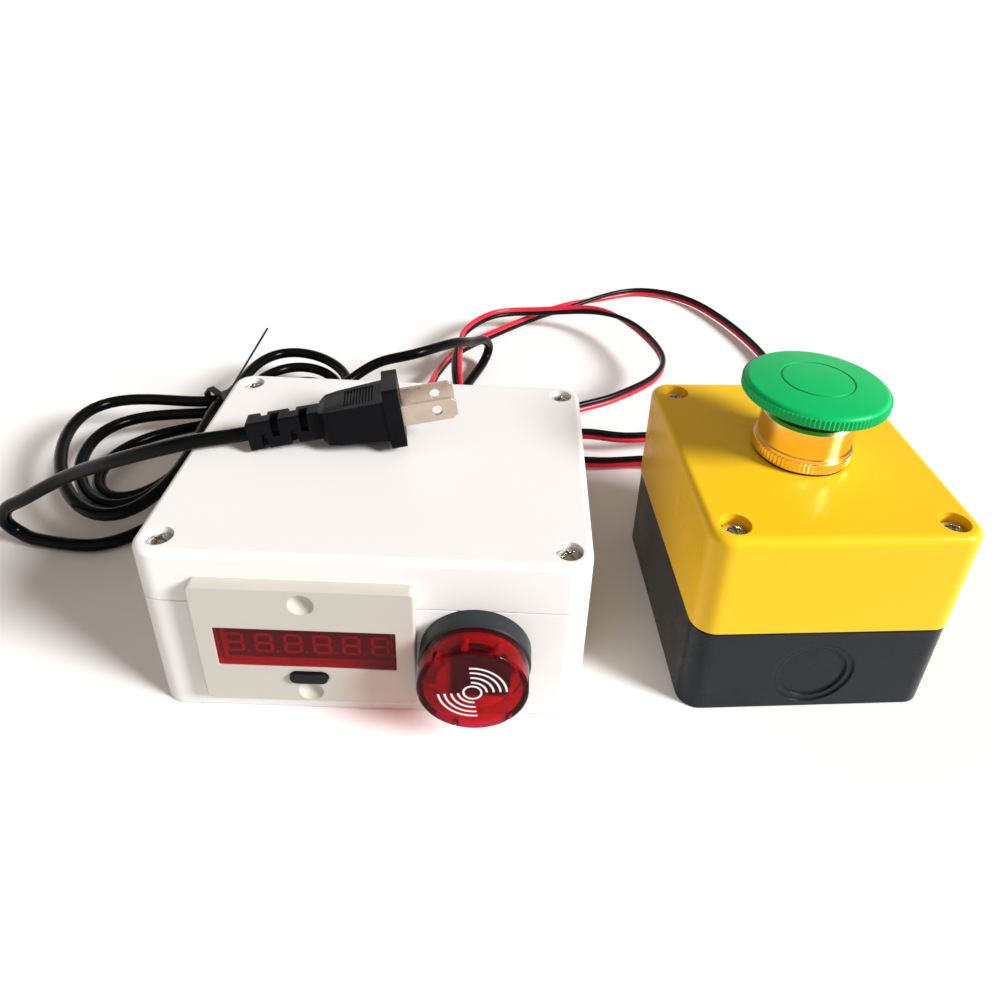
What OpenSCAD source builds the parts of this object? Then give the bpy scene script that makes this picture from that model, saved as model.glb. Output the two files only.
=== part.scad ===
// Mains powered six digit counter with a wired push button station.
// Frame: origin on the table under the middle of the white counter box,
// +X towards the push button station, +Y to the back, +Z up. Millimetres.

/* [Counter box] */

// Outside length of the white box, left to right
box_length = 115; // [110:0.5:125]

// Outside width of the white box, front to back
box_width = 90; // [84:0.5:100]

// Height of the white box with its lid on
box_height = 54; // [52:0.5:66]

// Height of the tub, where the lid starts
tub_height = 38; // [36:0.5:40]

// Radius of the upright corners of the white box
box_corner = 6; // [5:0.5:8]

// Radius of the top edge of the white lid
lid_edge = 1.8; // [0.8:0.1:2.2]

// Wall and floor thickness of the white box
box_wall = 2.5; // [2:0.1:3]

// Lid screw centre, in from the side walls
lid_screw_inset_x = 6.3; // [6:0.1:8]

// Lid screw centre, in from the front and back walls
lid_screw_inset_y = 6.2; // [6:0.1:8]

// Radius of the screw wells in the white lid
lid_well_radius = 3.55; // [3.4:0.05:3.9]

// Depth of the screw wells in the white lid
lid_well_depth = 3; // [2:0.1:5]

/* [Counter front] */

// Gap from the left side of the box to the ivory front plate
panel_inset = 14.5; // [14:0.5:17]

// Height of the middle of the ivory front plate above the table
panel_centre_height = 26.5; // [24:0.5:28]

// Length of the ivory front plate
panel_length = 56; // [52:0.5:58]

// Height of the ivory front plate
panel_height = 40; // [38:0.5:42]

// Thickness of the ivory front plate
panel_thickness = 3.5; // [3:0.1:4.5]

// Height of the red display window
window_height = 13.4; // [12:0.1:15]

// Thickness of the red display window
window_thickness = 2.2; // [1.5:0.1:2.8]

// Distance from digit to digit
digit_pitch = 7.5; // [7:0.1:7.9]

// Height of one digit
digit_height = 6.9; // [6:0.1:8]

// Width of one digit
digit_width = 4.9; // [4:0.1:5.2]

// Length of the reset key
key_length = 10; // [8:0.1:12]

// Height of the reset key
key_height = 3.6; // [3:0.1:4.5]

// How far the reset key stands out of the plate
key_proud = 0.9; // [0.6:0.1:1.6]

// Travel of the reset key
key_travel = 0.8; // [0.3:0.1:1]

// Depth of the counter housing behind the front wall
case_depth = 38; // [34:0.5:44]

/* [Buzzer] */

// Gap from the ivory front plate to the black buzzer ring
buzzer_gap = 0.8; // [0.5:0.1:4]

// Height of the middle of the buzzer above the table
buzzer_centre_height = 24.3; // [20:0.1:26]

// Radius of the black buzzer ring
buzzer_ring_radius = 14.6; // [14.4:0.1:15]

// Thickness of the black buzzer ring
buzzer_ring_thickness = 5.5; // [4:0.1:7]

// Radius of the threaded neck of the buzzer
buzzer_neck_radius = 10.9; // [10.5:0.1:11.5]

// Radius of the red lens
lens_radius = 14.1; // [13.6:0.1:14.3]

// Length of the red lens in front of its ring
lens_length = 8; // [6:0.5:10]

// Wall of the red lens
lens_wall = 1.6; // [1.2:0.1:1.8]

// Grip notches around the rim of the lens
lens_notches = 6; // [4:1:8]

/* [Push button station] */

// Length of the station, left to right
station_length = 73; // [70:0.5:80]

// Width of the station, front to back
station_width = 80; // [74:0.5:86]

// Height of the station without its button
station_height = 61.5; // [58:0.5:66]

// Height of the black base of the station
station_base_height = 29.5; // [26:0.5:31]

// Radius of the upright corners of the station
station_corner = 6.5; // [6:0.5:9]

// Radius of the top edge of the yellow cover
cover_edge = 2.4; // [1:0.1:2.9]

// Wall thickness of the station
station_wall = 2.6; // [2.2:0.1:3]

// Cover screw centre, in from the side walls
cover_screw_inset_x = 7.4; // [7.2:0.1:9]

// Cover screw centre, in from the front and back walls
cover_screw_inset_y = 6.7; // [6.7:0.1:9]

// Radius of the screw wells in the yellow cover
cover_well_radius = 4.1; // [3.8:0.1:4.3]

// Depth of the screw wells in the yellow cover
cover_well_depth = 4; // [2:0.1:8]

// Outer radius of the knockout in the base wall
knockout_radius = 11.5; // [10:0.1:12]

// Height of the knockout above the table
knockout_centre_height = 13.2; // [13:0.1:15]

// Place of the station, left to right
station_x = 119.3; // [119:0.1:140]

// Place of the station, front to back
station_y = 0.7; // [-10:0.1:10]

// Turn of the station on the table, in degrees
station_turn = 4.3; // [0:0.1:5]

/* [Push button] */

// Radius of the green mushroom head
head_radius = 20.2; // [18:0.1:22]

// Height of the rim of the green head
head_rim_height = 3.8; // [3:0.1:5]

// Rise of the flat dome above the rim
head_dome = 1.1; // [0.8:0.1:1.6]

// Radius of the round top edge of the green head
head_round = 1.6; // [1:0.1:2]

// Open gap between the gold neck and the green head
head_gap = 5.3; // [5:0.1:7]

// Travel of the green head
button_travel = 4.5; // [3:0.1:4.5]

// Radius of the gold neck
neck_radius = 13.1; // [12.6:0.1:13.4]

// Height of the gold neck above its knurled ring
neck_height = 8.7; // [7:0.1:10]

// Radius of the knurled ring
ring_radius = 14; // [13.8:0.1:15]

// Height of the knurled ring
ring_height = 4.3; // [3.5:0.1:5]

// Radius of the body of the button, through the cover
button_body_radius = 10.9; // [10.5:0.1:11.5]

// Radius of the plunger under the green head
plunger_radius = 9; // [8:0.1:9.2]

// Radius of the rod below the plunger
rod_radius = 3.5; // [3:0.1:4]

// Free play around sliding pieces
slide_play = 0.06; // [0.04:0.01:0.1]

// Wire of the return spring
spring_wire = 1; // [0.8:0.1:1.2]

// Turns of the return spring
spring_turns = 5; // [4:0.5:6]

/* [Mains plug] */

// Width of the plug flange across both blades
plug_width = 18.8; // [18:0.1:24]

// Height of the plug flange
plug_height = 18.2; // [16:0.1:20]

// Length of the plug from its face to the end of the sleeve
plug_length = 44; // [42:0.5:48]

// Distance between the two blades
blade_spacing = 12.7; // [12.6:0.1:12.8]

// Length of a blade
blade_length = 16; // [15.5:0.1:18]

// Width of a blade
blade_width = 6.35; // [6.2:0.05:6.5]

// Thickness of a blade
blade_thickness = 1.5; // [1.4:0.1:1.6]

// Radius of the hole in a blade
blade_hole_radius = 1.55; // [1.4:0.05:1.7]

/* [Cords] */

// Diameter of the mains lead
mains_diameter = 4.4; // [3.8:0.1:4.4]

// Height of the twin signal cable, its two cores on edge
twin_height = 4.8; // [4:0.1:4.8]

// Thickness of the twin signal cable
twin_thickness = 2.5; // [2:0.1:2.6]

// Turns of the tied hank, end to end
hank_turns = 3.14; // [3.14:1:4.14]

// Rise of the hank from one loop to the next
hank_step = 5; // [5:0.1:6]

/* [Hidden] */

$fn = 48;
eps = 0.01;

// shared fits
fit = 0.15;
seat = 0.05;

// white box
gasket_width = 1;
gasket_height = 1;
lid_height = box_height - tub_height;
lid_screw_x = box_length / 2 - lid_screw_inset_x;
lid_screw_y = box_width / 2 - lid_screw_inset_y;
post_radius = 4.6;
lid_post_radius = lid_well_radius + 1.5;
screw_shank_radius = 1.5;
screw_head_radius = 3.3;
screw_head_height = 2.2;
lid_screw_length = 18;
cover_screw_length = 34;
seam_height = 0.35;
seam_depth = 0.4;
lid_head_seat = box_height - lid_well_depth - screw_head_height;

// counter module behind the front wall
digit_margin = 1.2;
window_length = 6 * digit_pitch + digit_margin;
display_margin = 2.2;
case_length = window_length + 3.8;
case_height = panel_height - 6;
case_wall = 1.6;
window_centre = -0.3;
window_gap = 0.1;
display_depth = 7;
board_thickness = 1.6;
board_back = panel_thickness - window_thickness - window_gap - display_depth;
key_centre = -10.4;
key_flange = 1;
key_guard = 1;
panel_offset = -box_length / 2 + panel_inset + panel_length / 2;
dimple_radius = 3.3;
dimple_depth = 1.9;
dimple_rise = 15.1;
dimple_drop = -16;

// buzzer
buzzer_offset = panel_offset + panel_length / 2 + buzzer_gap + buzzer_ring_radius;
buzzer_bore_radius = buzzer_neck_radius - 1.5;
buzzer_neck_length = 20;
buzzer_nut_height = 4;
sounder_sink = 2;
sounder_pin = 16;
sounder_pin_offset = 3.8;
lamps = 8;
lamp_radius = 0.9;

// terminal strip on the floor of the white box
strip_ways = 6;
strip_pitch = 8;
strip_width = 16;
strip_height = 10;
strip_place = 22;

// cable entries in the back walls
entry_height = 11;
mains_entry_x = 10.5;
signal_entry_x = -8;
bushing_flange_radius = 5.4;
bushing_neck_radius = 4;
bushing_flange = 1.6;
bushing_sleeve = 5;
mains_sleeve = 20;
bushing_inner = 2;

// station
station_floor = 2.6;
seal_height = 0.7;
ring_bottom = station_height + seal_height;
ring_top = ring_bottom + ring_height;
neck_top = ring_top + neck_height;
head_bottom = neck_top + head_gap;
head_top = head_bottom + head_rim_height;
ledge_top = station_height - 11.5;
ledge_height = 4;
body_bottom = ledge_top - ledge_height;
plunger_bottom = ledge_top + 16;
rod_bottom = body_bottom - 3;
collar_height = 4;
body_hole_radius = button_body_radius + fit;
ring_bore_radius = button_body_radius + seat;
station_post_radius = 4.9;
cover_post_radius = cover_well_radius + 0.8;
cover_screw_x = station_length / 2 - cover_screw_inset_x;
cover_screw_y = station_width / 2 - cover_screw_inset_y;
cover_head_seat = station_height - cover_well_depth - screw_head_height;
block_length = 24;
block_width = 20;
block_height = 22;
block_slot = [16, 8];
block_bottom = body_bottom - block_height;
bridge_height = 1.2;
bridge_bottom = rod_bottom - 5;
contact_top = bridge_bottom - button_travel - 0.4;
knurl_pitch = 1.2;
knurl_depth = 0.35;
head_line_radius = 9.9;

// plug pose: it lies rolled and turned on the lid, on its flange and the end of its sleeve
flange_thickness = 4.5;
flange_corner = 1.6;
sleeve_length = 20.5;
sleeve_size = 8.6;
sleeve_corner = 1.2;
slot_pitch = 8.2;
grip_end = 18;
grip_wide = 8.9;
grip_narrow = 7.8;
grip_thick = 6.1;
grip_thin = 5.4;
grip_ribs = 9;
grip_rib_pitch = 0.9;
plug_turn = 11;
plug_roll = -7.5;
function plug_rest(width, height, corner) =
    (width / 2 - corner) * sin(abs(plug_roll)) + (height / 2 - corner) * cos(plug_roll) + corner;
flange_rest = plug_rest(plug_width, plug_height, flange_corner);
sleeve_rest = plug_rest(sleeve_size, sleeve_size, sleeve_corner);
plug_lift = atan((flange_rest - sleeve_rest) / (plug_length - flange_thickness));
plug_face = [
    2.5, 10.1,
    box_height + flange_rest * cos(plug_lift) + flange_thickness * sin(plug_lift) + 0.03
];

// cable tie: place along the hank, from its waist, and the way its loose end points
tie_shift = -3;
tie_thickness = 0.8;
tie_width = 2.5;
tie_play = 0.25;
tie_head = [4.6, 3.4, 4.4];
tie_end_length = 36;
tie_end_turn = 75;
tie_end_lift = 24;
tie_end_roll = -53;

// hank: waist place and the direction of its long axis
hank_waist = [-82.4, 88.9];
hank_axis = 47.3;
hank_bend = 10.6;
hank_lean = 0.44;
hank_start = -110;
hank_base = 3.2;
hank_waist_half = mains_diameter / 2 + 0.5;
hank_soften = 0.3;
hank_straight = 0.75;

// routes of the free cords, round numbers chosen by hand
tail_route = [
    [-59, -2, 56.4], [-81, 2, 47], [-103, 10, 34], [-121, 13, 22], [-129, 14.6, 16.5],
    [-132, 16, 10], [-129, 16.8, 4.6], [-122, 15.5, 2.7], [-103, 14, 2.7], [-91, 22, 2.7],
    [-85, 36, 2.7]
];
feed_route = [
    [-37, 93.5, 19.2], [-34.5, 101, 20.5], [-23, 109.5, 25.6], [-7, 109, 31], [8, 127, 28],
    [15, 143, 21], [20, 154.5, 16.4], [22.3, 160.4, 9.7], [19.6, 154.4, 3.5], [11, 122, 3]
];
twin_route = [
    [-7.5, 66, 11], [-6, 86, 10], [-4, 106, 9], [-2, 124, 8], [0, 142, 6], [7, 165, 4.4],
    [25, 190, 3.6], [51, 219, 3], [80, 242, 3], [110, 257, 3],
    [138, 245, 3], [158, 204, 3], [165, 160, 3], [152, 118, 4],
    [120, 95, 8], [86, 84, 9.5], [66, 87, 8.5], [48, 89, 5], [28, 94, 3.4], [15, 105, 7.5], [10, 122, 12],
    [8, 148, 13], [10, 172, 12.5], [24, 196, 11.5], [50, 204, 11], [78, 201, 14],
    [96, 184, 14], [106, 152, 14], [100, 129, 14], [80, 109, 14], [62, 98, 14], [50, 89, 14],
    [44, 79, 10], [52, 72, 6], [72, 73, 4], [92, 75, 4.5], [108, 70, 7.5]
];

// small vector helpers
function unit(v) = v / norm(v);
function mix(a, b, t) = a * (1 - t) + b * t;
function spin_z(v, a) = [v[0] * cos(a) - v[1] * sin(a), v[0] * sin(a) + v[1] * cos(a), v[2]];
function spin_y(v, a) = [v[0] * cos(a) - v[2] * sin(a), v[1], v[0] * sin(a) + v[2] * cos(a)];
function spin_x(v, a) = [v[0], v[1] * cos(a) - v[2] * sin(a), v[1] * sin(a) + v[2] * cos(a)];
function plug_point(v) = plug_face + spin_z(spin_y(spin_x(v, plug_roll), plug_lift), plug_turn);
function station_point(v) = [station_x, station_y, 0] + spin_z(v, station_turn);

// curve through the points of a route, with a few rings to each stretch
function curve_at(p, i, t) =
    let (a = p[max(i - 1, 0)], b = p[i], c = p[i + 1], d = p[min(i + 2, len(p) - 1)])
    0.5 * (2 * b + (c - a) * t + (2 * a - 5 * b + 4 * c - d) * t * t
        + (3 * b - a - 3 * c + d) * t * t * t);
function curve(p, steps) = [
    for (i = [0 : len(p) - 2], s = [0 : steps - 1]) curve_at(p, i, s / steps),
    p[len(p) - 1]
];

function tangent(p, i) =
    i == 0 ? unit(p[1] - p[0]) :
    i == len(p) - 1 ? unit(p[i] - p[i - 1]) :
    unit(unit(p[i + 1] - p[i]) + unit(p[i] - p[i - 1]));
function level_side(t) = unit(cross(t, [0, 0, 1]));

// one ring of a swept tube; flat cords keep their height upright
function ring_at(p, i, half_side, half_up, sides) =
    let (t = tangent(p, i), side = level_side(t), up = cross(side, t))
    [for (k = [0 : sides - 1])
        p[i] + side * half_side * cos(360 * (k + 0.5) / sides)
             + up * half_up * sin(360 * (k + 0.5) / sides)];

module tube(p, half_side, half_up, sides) {
    rings = len(p);
    last = (rings - 1) * sides;
    points = [for (i = [0 : rings - 1]) each ring_at(p, i, half_side, half_up, sides)];
    walls = [
        for (i = [0 : rings - 2], k = [0 : sides - 1])
            let (a = i * sides + k, b = i * sides + (k + 1) % sides)
            each [[a, b, b + sides], [a, b + sides, a + sides]]
    ];
    ends = [
        for (k = [1 : sides - 2])
            each [[0, k + 1, k], [last, last + k, last + k + 1]]
    ];
    polyhedron(points, concat(walls, ends), convexity = 10);
}

// hank centre line: two lobes drawn in at the waist, each loop wider and one step higher
function hank_point(a) =
    let (
        n = (a - hank_start) / 360,
        c = cos(a),
        s = sin(a),
        left = (1 - c) / 2,
        upper = (1 + s) / 2,
        pull = (sqrt(c * c + hank_soften * hank_soften) - hank_soften)
            / (sqrt(1 + hank_soften * hank_soften) - hank_soften),
        left_width = mix(9.6 + 9.9 * n, 5 + 12.1 * n, upper),
        right_width = mix(16 + 5 * n, 6.8 + 5 * n, upper),
        width = mix(right_width, left_width, left),
        reach = mix(46.4 + 2.6 * n, 52.8 + 5.6 * n, left),
        v = s * (hank_waist_half + 2 * width * pull),
        u = c * reach * (hank_straight + (1 - hank_straight) * pull) + hank_lean * v * left,
        turned = hank_axis + hank_bend * left
    )
    [hank_waist[0] + u * cos(turned) - v * sin(turned),
     hank_waist[1] + u * sin(turned) + v * cos(turned),
     hank_base + hank_step * n];

hank_rings = round(24 * hank_turns);
hank_path = [for (i = [0 : hank_rings]) hank_point(hank_start + 360 * hank_turns * i / hank_rings)];
hank_first = hank_path[0] - tangent(hank_path, 0) * mains_diameter;
hank_last = hank_path[hank_rings] + tangent(hank_path, hank_rings) * mains_diameter;
hank_line = concat([hank_first], hank_path, [hank_last]);

// least distance between parts of the hank that are half a loop or more apart
hank_fine = curve(hank_path, 3);
hank_gap = min([
    for (i = [0 : len(hank_fine) - 1], j = [i + 24 : 1 : len(hank_fine) - 1])
        norm(hank_fine[i] - hank_fine[j])
]) - mains_diameter;
echo(hank_least_gap = hank_gap);

// cable tie: eight flats drawn tight round the strands that pass through it
tie_place = [hank_waist[0], hank_waist[1], 0] + spin_z([tie_shift, 0, 0], hank_axis);
hank_chords = [
    for (i = [0 : hank_rings - 1], t = [0 : 0.1 : 0.9]) mix(hank_path[i], hank_path[i + 1], t)
];
tie_strands = [
    for (p = concat(curve(hank_path, 10), hank_chords))
        let (v = spin_z(p - tie_place, -hank_axis))
        if (abs(v[0]) < tie_head[2] / 2 + 0.6) [v[1], v[2]]
];
function flat_way(k) = [cos(45 * k), sin(45 * k)];
tie_flats = [
    for (k = [0 : 7])
        max([for (v = tie_strands) v * flat_way(k)]) + mains_diameter / 2 + tie_play
];
function tie_corner(k, grow) =
    let (a = tie_flats[k] + grow, b = tie_flats[(k + 1) % 8] + grow, n = flat_way(k))
    n * a + [-n[1], n[0]] * (b - a * cos(45)) / sin(45);
function tie_outline(grow) = [for (k = [0 : 7]) tie_corner(k, grow)];
echo(tie = tie_outline(tie_thickness));

plug_end = plug_point([-plug_length, 0, 0]);
plug_lead = plug_point([-plug_length - 6, 0, 0]);
tail_end = hank_first;
tail_lead = hank_first - tangent(hank_path, 0) * 6;
tail_line = concat([plug_end], curve(concat([plug_lead], tail_route, [tail_lead]), 2), [tail_end]);

feed_start = hank_last;
feed_lead = hank_last + tangent(hank_path, hank_rings) * 3;
mains_exit = [mains_entry_x, box_width / 2 + bushing_flange + mains_sleeve, entry_height];
feed_line = concat(
    [feed_start],
    curve(concat([feed_lead], feed_route, [mains_exit + [0, 8, 0]]), 2),
    [mains_exit]
);

signal_exit = [signal_entry_x, box_width / 2 + bushing_flange + bushing_sleeve, entry_height];
station_exit = station_point([0, station_width / 2 + bushing_flange + bushing_sleeve, entry_height]);
station_lead = station_point([0, station_width / 2 + bushing_flange + bushing_sleeve + 7, entry_height]);
twin_line = concat(
    [signal_exit],
    curve(concat([signal_exit + [0, 7, 0]], twin_route, [station_lead]), 1),
    [station_exit]
);

echo(rings = len(tail_line) + len(feed_line) + len(twin_line));

// flat shapes and blocks

module round_rect(length, width, radius) {
    square([length - 2 * radius, width], center = true);
    square([length, width - 2 * radius], center = true);
    for (x = [-1, 1], y = [-1, 1])
        translate([x * (length / 2 - radius), y * (width / 2 - radius)])
            circle(radius);
}

module slab(length, width, height, radius) {
    linear_extrude(height) round_rect(length, width, radius);
}

module crowned_side(width, height, edge) {
    translate([-width / 2, 0]) square([width, height - edge]);
    translate([-width / 2 + edge, 0]) square([width - 2 * edge, height]);
    for (s = [-1, 1])
        translate([s * (width / 2 - edge), height - edge]) circle(edge);
}

// block with round upright corners and a rounded top edge
module crowned_block(length, width, height, corner, edge) {
    translate([-(length / 2 - corner), 0, 0])
        rotate([90, 0, 90]) linear_extrude(length - 2 * corner) crowned_side(width, height, edge);
    translate([0, width / 2 - corner, 0])
        rotate([90, 0, 0]) linear_extrude(width - 2 * corner) crowned_side(length, height, edge);
    for (x = [-1, 1], y = [-1, 1])
        translate([x * (length / 2 - corner), y * (width / 2 - corner), 0])
            rotate_extrude() {
                square([corner, height - edge]);
                square([corner - edge, height]);
                translate([corner - edge, height - edge]) circle(edge);
            }
}

module at_corners(x, y) {
    for (i = [-1, 1], j = [-1, 1]) translate([i * x, j * y, 0]) children();
}

module tread(radius, height) {
    teeth = round(2 * PI * radius / knurl_pitch);
    linear_extrude(height)
        polygon([
            for (i = [0 : 2 * teeth - 1])
                let (r = i % 2 == 0 ? radius : radius - knurl_depth, a = 180 * i / teeth)
                [r * cos(a), r * sin(a)]
        ]);
}

module on_front(x, z) {
    translate([x, -box_width / 2, z]) rotate([90, 0, 0]) children();
}

module in_station() {
    translate([station_x, station_y, 0]) rotate([0, 0, station_turn]) children();
}

module in_plug() {
    translate(plug_face)
        rotate([0, 0, plug_turn]) rotate([0, -plug_lift, 0]) rotate([plug_roll, 0, 0])
            children();
}

module pan_screw(length) {
    translate([0, 0, -length]) cylinder(r = screw_shank_radius, h = length + eps);
    rotate_extrude() {
        square([screw_head_radius, screw_head_height / 2]);
        intersection() {
            translate([0, screw_head_height - 4.6]) circle(4.6);
            square([screw_head_radius, screw_head_height + 1]);
        }
    }
}

// white counter box

module front_cut(height) {
    length = case_length + 2 * fit;
    translate([
        panel_offset - length / 2,
        -box_width / 2 - 1,
        panel_centre_height - case_height / 2 - fit
    ])
        cube([length, box_wall + 2, height]);
}

module counter_base() {
    color("white")
        difference() {
            union() {
                difference() {
                    slab(box_length, box_width, tub_height, box_corner);
                    translate([0, 0, box_wall])
                        slab(box_length - 2 * box_wall, box_width - 2 * box_wall, tub_height,
                            box_corner - box_wall);
                }
                at_corners(lid_screw_x, lid_screw_y)
                    cylinder(r = post_radius, h = tub_height);
            }
            at_corners(lid_screw_x, lid_screw_y)
                translate([0, 0, lid_head_seat - lid_screw_length - 1])
                    cylinder(r = screw_shank_radius + seat, h = tub_height);
            front_cut(tub_height);
            on_front(buzzer_offset, buzzer_centre_height)
                translate([0, 0, -box_wall - 1])
                    cylinder(r = buzzer_neck_radius + fit, h = box_wall + 2);
            for (x = [mains_entry_x, signal_entry_x])
                translate([x, box_width / 2 + 1, entry_height])
                    rotate([90, 0, 0]) cylinder(r = bushing_neck_radius + seat, h = box_wall + 2);
        }
}

module counter_lid() {
    color("white")
        difference() {
            union() {
                difference() {
                    translate([0, 0, tub_height])
                        crowned_block(box_length, box_width, lid_height, box_corner, lid_edge);
                    translate([0, 0, tub_height - 1])
                        slab(box_length - 2 * box_wall, box_width - 2 * box_wall,
                            lid_height - box_wall + 1, box_corner - box_wall);
                }
                at_corners(lid_screw_x, lid_screw_y)
                    translate([0, 0, tub_height])
                        cylinder(r = lid_post_radius, h = lid_height - lid_edge);
            }
            at_corners(lid_screw_x, lid_screw_y) {
                translate([0, 0, lid_head_seat])
                    cylinder(r = lid_well_radius, h = box_height);
                cylinder(r = screw_shank_radius + seat, h = box_height);
            }
            translate([0, 0, tub_height - 1])
                gasket_ring(box_length, box_width, box_corner, box_wall, gasket_height + 1 + seat, seat);
            translate([0, 0, -1]) front_cut(case_height + 2 * fit + 1);
            translate([0, 0, tub_height - 1])
                linear_extrude(1 + seam_height)
                    difference() {
                        square([box_length + 2, box_width + 2], center = true);
                        round_rect(box_length - 2 * seam_depth, box_width - 2 * seam_depth,
                            box_corner - seam_depth);
                    }
        }
}

module gasket_ring(length, width, corner, wall, height, play) {
    outer = (wall - gasket_width) / 2 - play;
    inner = (wall + gasket_width) / 2 + play;
    linear_extrude(height)
        difference() {
            round_rect(length - 2 * outer, width - 2 * outer, corner - outer);
            round_rect(length - 2 * inner, width - 2 * inner, corner - inner);
        }
}

module lid_gasket() {
    color("dimgray")
        difference() {
            translate([0, 0, tub_height])
                gasket_ring(box_length, box_width, box_corner, box_wall, gasket_height, 0);
            front_cut(box_height);
        }
}

module lid_screws() {
    color("silver")
        at_corners(lid_screw_x, lid_screw_y)
            translate([0, 0, lid_head_seat]) pan_screw(lid_screw_length);
}

// ivory counter module

module key_shape(extra) {
    round_rect(key_length + 2 * extra, key_height + 2 * extra, key_height / 2 + extra - eps);
}

// round hollow with its lowest point at the origin
module dimple() {
    ball = (dimple_radius * dimple_radius + dimple_depth * dimple_depth) / (2 * dimple_depth);
    rotate_extrude()
        intersection() {
            translate([0, ball]) circle(ball);
            square([ball + 1, ball]);
        }
}

module display_panel() {
    color("ivory")
        on_front(panel_offset, panel_centre_height)
            difference() {
                crowned_block(panel_length, panel_height, panel_thickness, 1.4, 0.5);
                translate([0, window_centre, -1])
                    slab(window_length, window_height, panel_thickness + 2, 0.4);
                for (y = [dimple_rise, dimple_drop])
                    translate([0, y, panel_thickness - dimple_depth]) dimple();
                translate([0, key_centre, -1])
                    linear_extrude(panel_thickness + 2) key_shape(fit);
            }
}

module display_window() {
    color("crimson")
        on_front(panel_offset, panel_centre_height)
            translate([0, window_centre, panel_thickness - window_thickness])
                slab(window_length - 2 * window_gap, window_height - 2 * window_gap,
                    window_thickness - 0.2, 0.3);
}

display_front = panel_thickness - window_thickness - window_gap;

module digit_display() {
    color("black")
        on_front(panel_offset, panel_centre_height)
            translate([0, window_centre, display_front - display_depth])
                slab(window_length - display_margin, window_height - 0.8, display_depth - 0.1, 0.3);
}

module segment(length, thick) {
    linear_extrude(0.1)
        polygon([
            [-length / 2, 0], [-length / 2 + thick / 2, thick / 2], [length / 2 - thick / 2, thick / 2],
            [length / 2, 0], [length / 2 - thick / 2, -thick / 2], [-length / 2 + thick / 2, -thick / 2]
        ]);
}

module digit_segments() {
    thick = 0.85;
    gap = 0.12;
    across = digit_width - thick - 2 * gap;
    along = (digit_height - thick) / 2 - 2 * gap;
    color("pink")
        on_front(panel_offset, panel_centre_height)
            for (i = [0 : 5])
                translate([(i - 2.5) * digit_pitch + 1.3 - digit_pitch / 6, window_centre, display_front - 0.1]) {
                    for (y = [-1, 0, 1])
                        translate([0, y * (digit_height - thick) / 2, 0]) segment(across, thick);
                    for (x = [-1, 1], y = [-1, 1])
                        translate([
                            x * (digit_width - thick) / 2,
                            y * (digit_height - thick) / 4,
                            0
                        ])
                            rotate([0, 0, 90]) segment(along, thick);
                    translate([digit_width / 2 + 0.9, -digit_height / 2 + thick / 2, 0])
                        cylinder(r = 0.45, h = 0.1);
                }
}

module counter_case() {
    color("ivory")
        on_front(panel_offset, panel_centre_height)
            difference() {
                translate([0, 0, -case_depth]) slab(case_length, case_height, case_depth, 1.5);
                translate([0, 0, -case_depth + case_wall])
                    slab(case_length - 2 * case_wall, case_height - 2 * case_wall, case_depth, 0.8);
                for (i = [-3 : 3])
                    translate([i * 6 - 1, -case_height, -case_depth + 6])
                        cube([2, case_height - 12, case_depth - 18]);
            }
}

module counter_board() {
    color("darkgreen")
        on_front(panel_offset, panel_centre_height)
            translate([0, 0, board_back - board_thickness])
                slab(case_length - 2 * case_wall - 0.4, case_height - 2 * case_wall - 0.4,
                    board_thickness, 0.6);
}

module reset_button() {
    color("black")
        on_front(panel_offset, panel_centre_height)
            translate([0, key_centre, 0]) {
                translate([0, 0, -seat - key_flange])
                    linear_extrude(key_flange + seat + panel_thickness + key_proud) key_shape(0);
                translate([0, 0, -seat - key_flange]) linear_extrude(key_flange) key_shape(key_guard);
            }
}

module reset_switch() {
    body = 3;
    color("gray")
        on_front(panel_offset, panel_centre_height)
            translate([0, key_centre - 0.4, board_back]) {
                linear_extrude(body) round_rect(6, 6, 0.3);
                cylinder(r = 1.7, h = -board_back - seat - key_flange - key_travel - 0.15);
            }
}

// buzzer

module buzzer_bezel() {
    color("#2b2d30")
        on_front(buzzer_offset, buzzer_centre_height)
            rotate_extrude()
                difference() {
                    union() {
                        square([buzzer_ring_radius - 0.6, buzzer_ring_thickness]);
                        square([buzzer_ring_radius, buzzer_ring_thickness - 0.6]);
                        translate([buzzer_ring_radius - 0.6, buzzer_ring_thickness - 0.6]) circle(0.6);
                        translate([0, -buzzer_neck_length])
                            square([buzzer_neck_radius, buzzer_neck_length + eps]);
                    }
                    translate([-1, -buzzer_neck_length + 2])
                        square([buzzer_bore_radius + 1, buzzer_neck_length + buzzer_ring_thickness]);
                }
}

module buzzer_lens() {
    notch = 0.8;
    color("red")
        on_front(buzzer_offset, buzzer_centre_height)
            translate([0, 0, buzzer_ring_thickness])
                difference() {
                    rotate_extrude() {
                        translate([lens_radius - lens_wall, 0]) square([lens_wall, lens_length - 1]);
                        translate([0, lens_length - 1.8]) square([lens_radius - 1, 1.8]);
                        translate([lens_radius - 1, lens_length - 1]) circle(1);
                    }
                    for (i = [0 : lens_notches - 1])
                        rotate([0, 0, 12 + 360 * i / lens_notches])
                            translate([lens_radius + 0.1, 0, lens_length - 3])
                                cylinder(r = notch, h = 4);
                }
}

module buzzer_sounder() {
    color("#3a3c40")
        on_front(buzzer_offset, buzzer_centre_height)
            translate([0, 0, -sounder_sink]) {
                top = sounder_sink + buzzer_ring_thickness + lens_length - 3.4;
                difference() {
                    cylinder(r = buzzer_bore_radius - seat, h = top);
                    translate([0, 0, top - 1]) cylinder(r = 1.5, h = 4);
                }
                for (x = [-1, 1])
                    translate([x * sounder_pin_offset, 0, -sounder_pin + seat])
                        cylinder(r = 0.5, h = sounder_pin);
            }
}

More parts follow.
